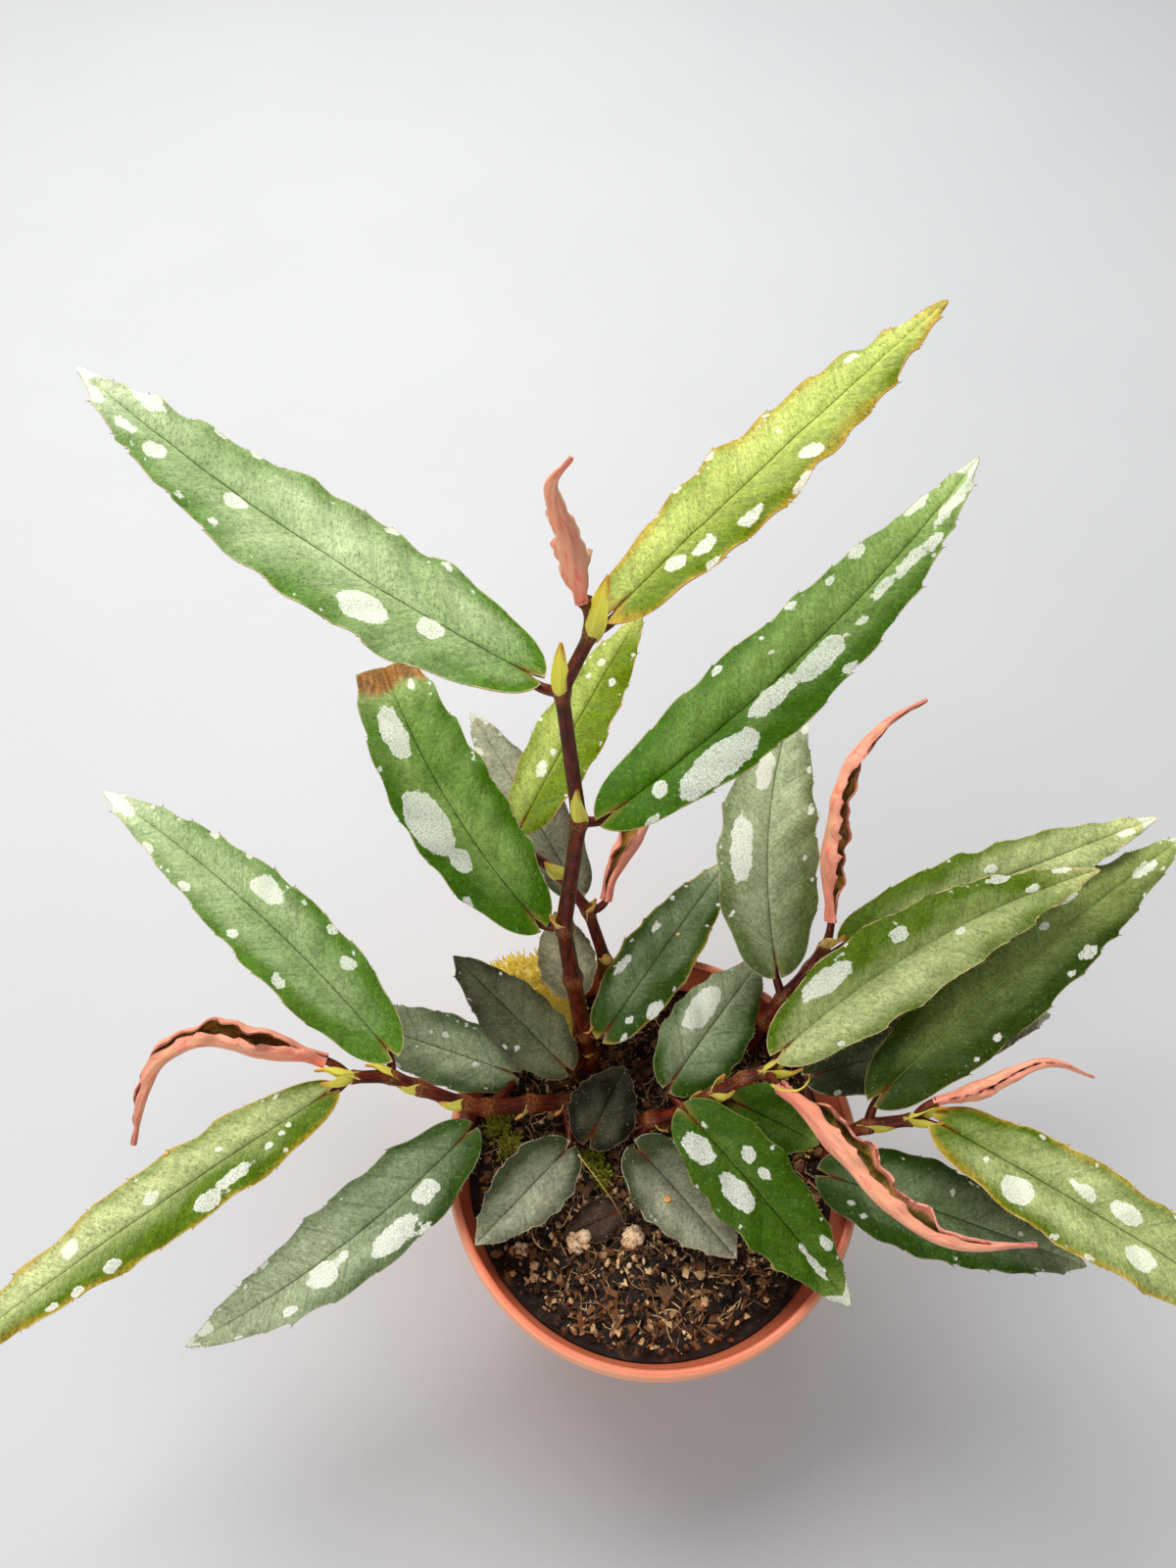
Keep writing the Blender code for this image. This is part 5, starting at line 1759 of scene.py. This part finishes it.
LEAVES = [
    Leaf("leaf_upper_left", (-21.5, 49.3, 157), 149, 87, 21, 12, 2, sweep=-16, roll=6, lobe=0.12,
         shade=Shade.SAGE, haze_and_sheen=0.58, outward=0.0, ruffle=0.45, painted_lit_half=-0.05, silver_tip=0.05,
         spots=((0.29, 0.53, 8.7, 5.3), (0.18, 0.2, 4.6, 4.0), (0.59, 0.18, 3.8, 3.1), (0.76, 0.48, 4.4, 3.1),
                (0.86, -0.85, 8.2, 3.2), (0.72, -0.98, 3.0, 1.8), (0.64, -0.98, 2.3, 1.5),
                (0.35, -0.95, 2.8, 2.1), (0.23, -0.93, 2.2, 1.5), (0.84, 0.55, 4.6, 1.9),
                (0.66, 0.88, 2.5, 1.5), (0.58, 0.8, 1.9, 1.3), (0.93, 0.8, 4.8, 2.1))),
    Leaf("leaf_upper_right", (-8.5, 49.5, 172), 47, 77, 14.5, 8, 6, roll=-6, lobe=0.2,
         shade=Shade.LIME, haze_and_sheen=0.66, painted_lit_half=0.3, scorch=1.0, ruffle=0.5,
         spots=((0.13, -0.35, 3.4, 2.8), (0.19, -0.5, 4.4, 2.4), (0.29, -0.72, 5.5, 2.2),
                (0.48, -0.65, 4.5, 3.0), (0.41, -0.96, 4.4, 1.8), (0.36, 0.95, 2.7, 1.3),
                (0.26, 0.98, 2.1, 1.5), (0.73, 0.68, 3.3, 1.4), (0.49, 0.35, 1.3, 0.8),
                (0.17, -0.95, 3.3, 1.3))),
    Leaf("leaf_tall_right", (-8, 40.5, 131), 40, 89, 18.5, 13, -2, sweep=17, lobe=0.2,
         shade=Shade.GREEN, haze_and_sheen=0.35, outward=0.9, painted_lit_half=0.22, silver_tip=0.05,
         spots=((0.2, -0.56, 17.0, 6.2), (0.36, -0.22, 11.5, 4.0), (0.475, -0.36, 12.0, 4.4),
                (0.09, -0.3, 2.9, 3.3), (0.06, -0.95, 2.5, 1.5), (0.49, -0.95, 4.0, 1.7),
                (0.66, -0.3, 6.5, 1.9), (0.73, -0.4, 8.3, 2.4), (0.69, 0.9, 4.4, 2.4),
                (0.61, 0.8, 2.0, 1.6), (0.52, 0.9, 3.1, 1.7), (0.32, 0.88, 2.7, 1.9),
                (0.85, 0.9, 7.0, 2.4), (0.89, -0.5, 11.2, 2.2), (0.79, -0.7, 5.4, 2.0),
                (0.42, 0.43, 1.2, 0.8), (0.58, -0.45, 2.1, 1.5))),
    Leaf("leaf_back_narrow", (-25, 52, 105), 66, 60, 14, 2, 12, shade=Shade.LIME, haze_and_sheen=0.15,
         outward=0.1, painted_lit_half=0.5,
         spots=((0.2, 0.25, 4.7, 2.3), (0.27, 0.2, 1.8, 1.2), (0.68, 0.33, 2.6, 1.6),
                (0.61, 0.5, 2.0, 1.2), (0.62, -0.45, 2.1, 1.5))),
    Leaf("leaf_tall_left_cut", (-22.5, 32, 107), 126, 55, 19, 18, 6, sweep=-24, blunt=0.25,
         shade=Shade.GREEN, haze_and_sheen=0.42, dead_tip=0.1,
         spots=((0.44, 0.58, 13.8, 7.1), (0.28, 0.48, 5.3, 3.7), (0.76, 0.38, 11.8, 4.6),
                (0.9, -0.52, 3.2, 1.8), (0.17, 0.95, 2.1, 1.4), (0.66, 0.95, 1.8, 1.1))),
    Leaf("leaf_left", (-50, 14, 88), 138, 80, 17.5, 8, 6, sweep=14, shade=Shade.SAGE, haze_and_sheen=0.46,
         outward=0.75, silver_tip=0.05,
         spots=((0.48, -0.55, 7.7, 4.4), (0.21, -0.6, 3.6, 2.5), (0.3, -0.9, 2.4, 1.9),
                (0.29, 0.8, 3.8, 2.2), (0.46, 0.75, 3.3, 1.8), (0.64, 0.85, 2.9, 1.7),
                (0.79, 0.93, 3.3, 1.7), (0.69, -0.95, 2.9, 1.6), (0.58, -0.95, 2.2, 1.3),
                (0.94, 0.3, 9.3, 3.1))),
    Leaf("leaf_low_left_outer", (-59.5, 5, 90), -143, 76, 14, 8, 18, shade=Shade.OLIVE, haze_and_sheen=0.5,
         outward=0.1, painted_lit_half=-0.4, scorch=0.8, ruffle=0.45,
         spots=((0.33, 0.7, 5.0, 3.2), (0.26, 0.55, 6.7, 2.6), (0.43, -0.25, 3.0, 2.3),
                (0.26, -0.3, 1.5, 1.2), (0.11, 0.25, 1.3, 1.3), (0.13, 0.35, 1.3, 1.2),
                (0.17, 0.4, 1.6, 1.5), (0.62, -0.42, 3.5, 2.6), (0.56, 0.73, 3.2, 2.0),
                (0.64, 0.85, 2.5, 1.7), (0.7, 0.8, 2.1, 1.4))),
    Leaf("leaf_low_left_inner", (-35.5, 0.5, 78), -140, 60, 16.5, 4, 18, sweep=-24, shade=Shade.DUSKY,
         haze_and_sheen=0.78, outward=1.3, silver_tip=0.03,
         spots=((0.2, 0.33, 5.4, 3.8), (0.34, 0.6, 10.0, 4.2), (0.56, 0.32, 6.2, 4.2),
                (0.49, 0.25, 2.6, 1.9), (0.68, 0.7, 2.3, 1.6), (0.7, -0.95, 1.9, 1.7),
                (0.26, 0.95, 2.7, 1.4), (0.93, -0.7, 3.6, 2.4))),
    Leaf("leaf_dark_left", (-28, 14.2, 71.6), 163, 38, 14, 9, 6, roll=-20, fold=8, shade=Shade.DUSKY,
         haze_and_sheen=0.8,
         spots=((0.38, -0.38, 1.9, 1.5), (0.19, 0.15, 1.7, 1.3), (0.46, -0.4, 1.4, 1.0),
                (0.49, 0.18, 1.4, 0.9))),
    Leaf("leaf_dark_tall_foot", (-17.5, 15, 73.5), 137, 31, 14, 15, 10, shade=Shade.CHARCOAL,
         haze_and_sheen=0.8, outward=-0.6, dots=5,
         spots=((0.28, 0.68, 1.3, 1.0), (0.24, -0.72, 1.2, 0.8))),
    Leaf("leaf_heart_small", (-12, 2.5, 68), 62, 15, 14, 26, 16, shade=Shade.CHARCOAL, haze_and_sheen=0.12,
         outward=-0.6, dots=0),
    Leaf("leaf_grey_front_left", (-17, -0.5, 69), -133, 24, 14, 10, 4, shade=Shade.GREY, haze_and_sheen=0.48, painted_lit_half=0.15,
         dots=0, old=True),
    Leaf("leaf_grey_front_middle", (-2.5, -0.5, 68.5), -47, 26, 16, 4, 16, shade=Shade.GREY, haze_and_sheen=0.7,
         outward=1.1, silver_tip=0.04, dots=16, old=True),
    Leaf("leaf_bright_front", (6.5, 3.5, 80), -49, 43, 17, 2, 22, shade=Shade.DEEP, haze_and_sheen=0.05, silver_tip=0.1,
         spots=((0.13, -0.47, 6.6, 4.8), (0.36, -0.38, 8.3, 4.5), (0.28, 0.4, 3.4, 2.5),
                (0.38, 0.35, 2.7, 2.1), (0.76, -0.1, 7.3, 1.8), (0.74, 0.62, 3.4, 1.8),
                (0.07, 0.15, 1.4, 0.9))),
    Leaf("leaf_dark_centre", (-9, 21, 76), 56, 50, 15, 0, 14, shade=Shade.DUSKY, haze_and_sheen=0.22, painted_lit_half=0.1,
         scorch=0.3,
         spots=((0.18, -0.85, 4.5, 3.1), (0.09, -0.5, 2.0, 1.4), (0.04, -0.9, 1.5, 1.1),
                (0.49, 0.58, 3.2, 1.8), (0.27, 0.7, 5.4, 1.6))),
    Leaf("leaf_centre_right", (4, 12, 74), 53, 32, 17, 0, 8, roll=12, shade=Shade.DUSKY, haze_and_sheen=0.55,
         painted_lit_half=0.25, dots=5,
         spots=((0.47, 0.5, 11.2, 5.3),)),
    Leaf("leaf_dark_middle", (16, 6.5, 77), -24, 17, 13, -6, 10, shade=Shade.DEEP, haze_and_sheen=0.1, dots=3),
    Leaf("leaf_upright_back", (24.5, 33, 82.5), 88, 57, 20.5, 26, 12, sweep=-34, shade=Shade.MISTY,
         haze_and_sheen=0.55, outward=0.5, painted_lit_half=0.12,
         spots=((0.39, 0.53, 13.9, 4.6), (0.67, 0.3, 9.2, 3.5), (0.36, -0.72, 1.7, 1.2),
                (0.54, -0.85, 2.0, 1.2), (0.7, -0.88, 2.0, 1.2), (0.86, -0.9, 4.4, 1.8))),
    Leaf("leaf_right_big", (23.5, 13.5, 89), 31, 72, 17.5, 12, 12, sweep=-22, shade=Shade.OLIVE,
         haze_and_sheen=0.38, outward=-0.6, painted_lit_half=-0.3, ruffle=0.5, pale_midrib=True,
         spots=((0.2, 0.55, 11.2, 4.4), (0.42, 0.5, 4.6, 3.0), (0.56, -0.15, 2.3, 1.6),
                (0.74, 0.9, 6.0, 2.4), (0.8, 0.15, 3.2, 1.6), (0.9, 0.9, 4.4, 2.2))),
    Leaf("leaf_right_behind", (38.5, 35.5, 87.5), 21, 69, 15, 8, 8, shade=Shade.OLIVE, haze_and_sheen=0.4,
         outward=0.9, ruffle=0.7, silver_tip=0.06,
         spots=((0.46, 0.33, 3.3, 1.5), (0.89, -0.32, 4.5, 2.1))),
    Leaf("leaf_right_outer", (42, 7, 83), 38, 86, 18, 10, 14, sweep=-6, shade=Shade.FOREST,
         haze_and_sheen=0.36, outward=0.9, painted_lit_half=0.2, ruffle=0.5, silver_tip=0.05, pale_midrib=True,
         spots=((0.64, 0.73, 6.1, 3.4), (0.54, 0.35, 2.1, 1.5), (0.84, -0.1, 7.1, 2.4),
                (0.57, -0.78, 4.5, 2.4), (0.5, -0.85, 2.1, 1.4), (0.27, -0.8, 2.4, 1.4),
                (0.2, -0.85, 1.9, 1.2))),
    Leaf("leaf_right_low_grey", (31, 12, 77), 16, 54, 15, 0, 16, shade=Shade.GREY, haze_and_sheen=0.3, outward=1.2,
         silver_tip=0.08, old=True,
         spots=((0.07, -0.9, 1.7, 1.5),)),
    Leaf("leaf_low_right_dark", (33, -6, 73), -18, 49, 18, 2, 14, shade=Shade.DUSKY, haze_and_sheen=0.3,
         spots=((0.45, 0.5, 1.9, 1.6), (0.73, 0.2, 1.4, 1.1), (0.1, -0.55, 1.4, 1.1),
                (0.15, -0.72, 1.3, 1.1))),
    Leaf("leaf_low_right_outer", (52, 0.5, 85), -33, 72, 17, 6, 18, shade=Shade.OLIVE, haze_and_sheen=0.6,
         outward=0.7, scorch=0.8, ruffle=0.45,
         spots=((0.21, -0.5, 5.8, 5.2), (0.35, 0.25, 3.7, 2.4), (0.32, 0.3, 2.2, 1.4),
                (0.45, 0.35, 5.8, 3.5), (0.51, -0.4, 5.3, 4.2), (0.12, -0.32, 1.3, 1.3),
                (0.41, -0.95, 1.8, 1.2))),
    Leaf("leaf_grey_behind", (-15, 46.5, 88), 121, 44, 14, 14, 8, shade=Shade.GREY, haze_and_sheen=0.95,
         silver_tip=0.05,
         old=True, spots=((0.8, 0.9, 3.4, 1.6),)),
    Leaf("leaf_old_behind_foot", (-15.5, 28.5, 79), 103, 17, 12, 8, 10, shade=Shade.TAUPE, dots=0,
         old=True),
]

FALLEN_LEAF = Leaf("fallen_leaf", (-6.5, -10.2, 61.8), 204, 12, 8, 0, 6, fold=10, wave=0.6, shade=Shade.DRY,
                   dots=0, old=True)

LEAF_HOLDERS = {
    "cane_tall": {7: ["leaf_upper_left"], 8: ["leaf_upper_right"], 6: ["leaf_tall_right"],
                  5: ["leaf_tall_left_cut"], 2: ["leaf_dark_tall_foot"],
                  3: ["leaf_dark_centre", "leaf_old_behind_foot"]},
    "cane_left": {7: ["leaf_left"], 8: ["leaf_low_left_outer"], 5: ["leaf_low_left_inner"],
                  4: ["leaf_dark_left"], 2: ["leaf_grey_front_left"]},
    "cane_back": {5: ["leaf_back_narrow"], 3: ["leaf_grey_behind"]},
    "cane_middle": {2: ["leaf_heart_small", "leaf_grey_front_middle"],
                    4: ["leaf_bright_front", "leaf_dark_middle"], 3: ["leaf_centre_right"],
                    6: ["leaf_right_big"]},
    "cane_right": {4: ["leaf_right_outer"], 3: ["leaf_right_low_grey", "leaf_low_right_dark"],
                   5: ["leaf_low_right_outer"]},
    "cane_back_right": {3: ["leaf_upright_back"], 4: ["leaf_right_behind"]},
}

YOUNG_LEAVES = [
    YoungLeaf("young_leaf_top", [(-13.5, 46.5, 177), (-14, 47, 181), (-15.5, 48, 188), (-17, 49, 195),
                                 (-14.5, 48.5, 200)], 1.9, turn=150.0, opening=50.0, flare=0.5),
    YoungLeaf("young_leaf_left", [(-60, 10.5, 92), (-66, 11.5, 95), (-79, 13, 99), (-87, 10, 98),
                                  (-91, 5, 94), (-94, -3, 86)], 2.7, turn=12.0, opening=34.0, closed=177.0,
              gape=(0.14, 0.6)),
    YoungLeaf("young_leaf_back_right", [(35, 39, 89), (35, 45, 94), (36, 54, 98), (39, 65, 103),
                                        (46, 73, 107), (54, 77, 110)], 2.6, turn=35.0, opening=42.0,
              flare=0.9, gape=(0.02, 0.66)),
    YoungLeaf("young_leaf_right", [(50.5, 4.5, 86), (58, 6, 89), (70, 10, 92), (79, 8, 90)], 1.7,
              turn=18.0, opening=8.0, closed=180.0),
    YoungLeaf("young_leaf_front_right", [(22, 6.5, 89), (26, 2, 92), (32, -5, 93), (39, -14, 92),
                                         (49, -20, 90), (64, -20, 87)], 2.5, turn=-40.0, opening=40.0,
              closed=176.0, flare=0.9, gape=(0.15, 0.72)),
    YoungLeaf("young_leaf_back", [(-9, 43.5, 89), (-8, 47, 92), (-4, 54, 98), (5, 69, 106),
                                  (16, 87, 113)], 2.5, turn=-20.0, opening=48.0, gape=(0.1, 0.7)),
]

YOUNG_HOLDERS = {"young_leaf_top": ("cane_tall", 9), "young_leaf_left": ("cane_left", 8),
                 "young_leaf_back_right": ("cane_back_right", 5), "young_leaf_right": ("cane_right", 5),
                 "young_leaf_front_right": ("cane_middle", 6), "young_leaf_back": ("cane_back", 3)}

CANES = [
    Cane("cane_tall", [(-12, 19, 50), (-12, 19, 62), (-12.5, 20, 66), (-13.5, 22, 73), (-15.5, 27, 90),
                       (-17, 31, 105), (-14, 39, 130), (-16.5, 46, 157), (-12, 47, 170), (-12.5, 48, 175)],
         2.1, 1.0, [(5, -150, 6, True), (6, -120, 9, False), (7, -110, 10, False), (8, -115, 11, False),
                    (3, -40, 5, True), (2, -80, 4, True)]),
    Cane("cane_left", [(-13, 10, 50), (-13, 10, 62), (-17.5, 9.5, 67), (-24, 8, 71.5), (-32, 6, 76),
                       (-36, 6, 78.5), (-44, 8, 83), (-49, 9.3, 86), (-56, 8, 90)],
         2.0, 1.2, [(5, -60, 5, False), (6, -90, 4, False), (7, 60, 5, False), (8, 75, 6, False),
                    (8, -60, 5, False), (3, -70, 5, True), (2, -70, 4, True)]),
    Cane("cane_back", [(-9, 31, 50), (-9, 31, 62), (-9, 36, 75), (-12.5, 42, 87), (-18, 46, 95),
                       (-24, 48, 101)],
         1.8, 1.0, [(2, -80, 6, True), (4, -60, 5, False), (3, -20, 4, True)]),
    Cane("cane_middle", [(-5, 6, 50), (-5, 6, 62), (0, 6, 67), (6.5, 6.2, 73), (11, 7.7, 78),
                         (16.5, 9.8, 83), (21, 10.3, 86)],
         2.0, 1.2, [(3, 80, 5, True), (4, -80, 5, False), (4, 80, 5, True), (6, -60, 6, False),
                    (6, 90, 5, False), (2, -60, 4, True)]),
    Cane("cane_right", [(20, 3, 50), (20, 3, 62), (27, 2, 67), (34, 1, 73), (40, 2.3, 78), (47.5, 2.2, 83)],
         1.9, 1.2, [(4, -60, 6, False), (5, 80, 6, False), (5, -70, 5, False), (3, -70, 4, True)]),
    Cane("cane_back_right", [(22, 24, 50), (22, 24, 62), (23, 25, 70), (26.5, 28, 76), (32, 33, 79),
                             (34.5, 36, 85)],
         1.8, 1.2, [(5, -80, 6, True), (4, -60, 4, True)]),
]


THREADS = [
    ([(-14.5, -1.2, 69.5), (-13.4, -2.5, 69.2), (-10.3, -6.1, 67.5), (-7.5, -9.5, 65.0),
      (-5.5, -12.5, 61.5)], 0.18, 1.0),
    ([(21.0, 7.5, 87.5), (21.1, 6.7, 89), (22.5, 5.3, 91), (24.8, 4.9, 93), (26.2, 5.8, 95),
      (26.3, 6.9, 96)], 0.38, 0.0),
]

SPECKS = [("leaf_grey_front_middle", 0.38, -0.32, 0.75), ("leaf_dark_centre", 0.52, -0.12, 0.5),
          ("leaf_low_left_outer", 0.36, -0.95, 0.5)]


class Plant:
    """The canes with their leaves: it works out where each stalk ends, and builds them all."""

    def __init__(self) -> None:
        """Hang each leaf's stalk on its cane."""
        self.leaves = {leaf.name: leaf for leaf in LEAVES}
        for cane in CANES:
            for joint, names in LEAF_HOLDERS[cane.name].items():
                for name in names:
                    cane.stalks.append(self.leaf_stalk(joint, self.leaves[name]))
        canes = {cane.name: cane for cane in CANES}
        for young in YOUNG_LEAVES:
            holder, joint = YOUNG_HOLDERS[young.name]
            first, second = (np.array(point, float) for point in young.path[:2])
            canes[holder].stalks.append((joint, first + unit(second - first) * 0.6, unit(second - first)))

    @staticmethod
    def leaf_stalk(joint: int, leaf: Leaf) -> tuple[int, Array, Array]:
        """The end of a leaf's stalk, just inside the blade, and the direction that it arrives in."""
        point, forward, _, above = leaf.frame(np.array([0.0]))
        arrive = unit(forward[0] * 0.8 + above[0] * 0.6)
        return joint, point[0] + forward[0] * 0.5 - above[0] * 0.75, arrive

    @staticmethod
    def threads() -> Patch:
        """Thin tapering tubes: a root fibre, and the spike of a stipule."""
        patches = []
        for points, thick, withered in THREADS:
            path = smooth_path(points, 8)
            _, across, above = path_frame(path)
            turn = np.arange(6) * 2 * math.pi / 6
            share = np.linspace(0, 1, len(path))
            girth = thick * (1 - 0.75 * share)[:, None]
            ring = (path[:, None] + across[:, None] * (girth * np.cos(turn))[..., None]
                    + above[:, None] * (girth * np.sin(turn))[..., None])
            values = np.stack([share[:, None] + 0 * turn, np.cos(turn) + 0 * girth,
                               withered + 0 * turn + 0 * girth], -1)
            ends = np.array([[0.0, 0.0, withered], [1.0, 0.0, withered]])
            patches.append(Patch(np.concatenate([ring.reshape(-1, 3), path[[0, -1]]]),
                                 tube_faces(len(path), 6),
                                 {"scale": np.concatenate([values.reshape(-1, 3), ends])}))
        return joined(patches)

    def specks(self) -> Patch:
        """Small scabs on some leaves: flattened balls with a dent, half sunk in the blade."""
        points, faces = ball(9, 18)
        dented = points * (1 - 0.8 * np.exp(-((np.hypot(points[:, 0], points[:, 1])) / 0.4) ** 2))[:, None]
        patches = []
        for name, share, side, size in SPECKS:
            leaf = self.leaves[name]
            stations, places = np.array([share, share + 0.02]), np.array([side, side - 0.05])
            spot = leaf.surface(stations, places)[0]
            normal = unit(np.cross(spot[1, 0] - spot[0, 0], spot[0, 0] - spot[0, 1]))
            normal = normal * np.sign(normal[2])
            first = unit(np.cross(normal, [1.0, 0.3, 0.1]))
            axes = np.stack([first, np.cross(normal, first), normal], -1) * size * [1, 1, 0.5]
            where = spot[0, 0] + normal * leaf.thickness / 2
            scale = np.stack([0.55 + 0.45 * np.hypot(points[:, 0], points[:, 1]), points[:, 0],
                              np.ones(len(points))], -1)
            patches.append(Patch(dented @ axes.T + where, faces, {"scale": scale}))
        return joined(patches)

    def build(self) -> None:
        """Make every cane, leaf and young leaf, and the small things on them."""
        skin, paper = CaneFinish().build(), ScaleFinish().build()
        for cane in CANES:
            cane.build(skin, paper)
        living = BladeFinish("leaf_skin").build()
        ribbed = BladeFinish("leaf_skin_pale_rib", pale_midrib=0.8).build()
        dusky = BladeFinish("dark_leaf_skin", roughness=0.46, veins=0.3, base_glow=0.1).build()
        faded = BladeFinish("old_leaf_skin", roughness=0.62, sheen=0.08, silver=srgb(224, 222, 206),
                            veins=0.2, base_glow=0.05, flecks=0.7).build()
        for leaf in LEAVES:
            dark = leaf.shade in (Shade.DUSKY, Shade.CHARCOAL)
            finish = faded if leaf.old else dusky if dark else ribbed if leaf.pale_midrib else living
            leaf.build(finish, leaf.name)
        FALLEN_LEAF.build(faded, None)
        make_piece("stray_threads", self.threads(), paper)
        make_piece("leaf_scabs", self.specks(), paper)
        rolled = YoungFinish().build()
        for young in YOUNG_LEAVES:
            young.build(rolled)


def main() -> None:
    """Build the studio, the pot with its soil and moss, and the plant."""
    logging.basicConfig(level=logging.INFO, format="%(name)s: %(message)s")
    Studio().build()
    pot = Pot()
    pot.build(PotFinish().build())
    soil = Soil(pot)
    soil.build(PeatFinish().build(), GrainFinish().build())
    Moss(soil).build(MossFinish().build())
    Plant().build()


if __name__ == "__main__":
    main()
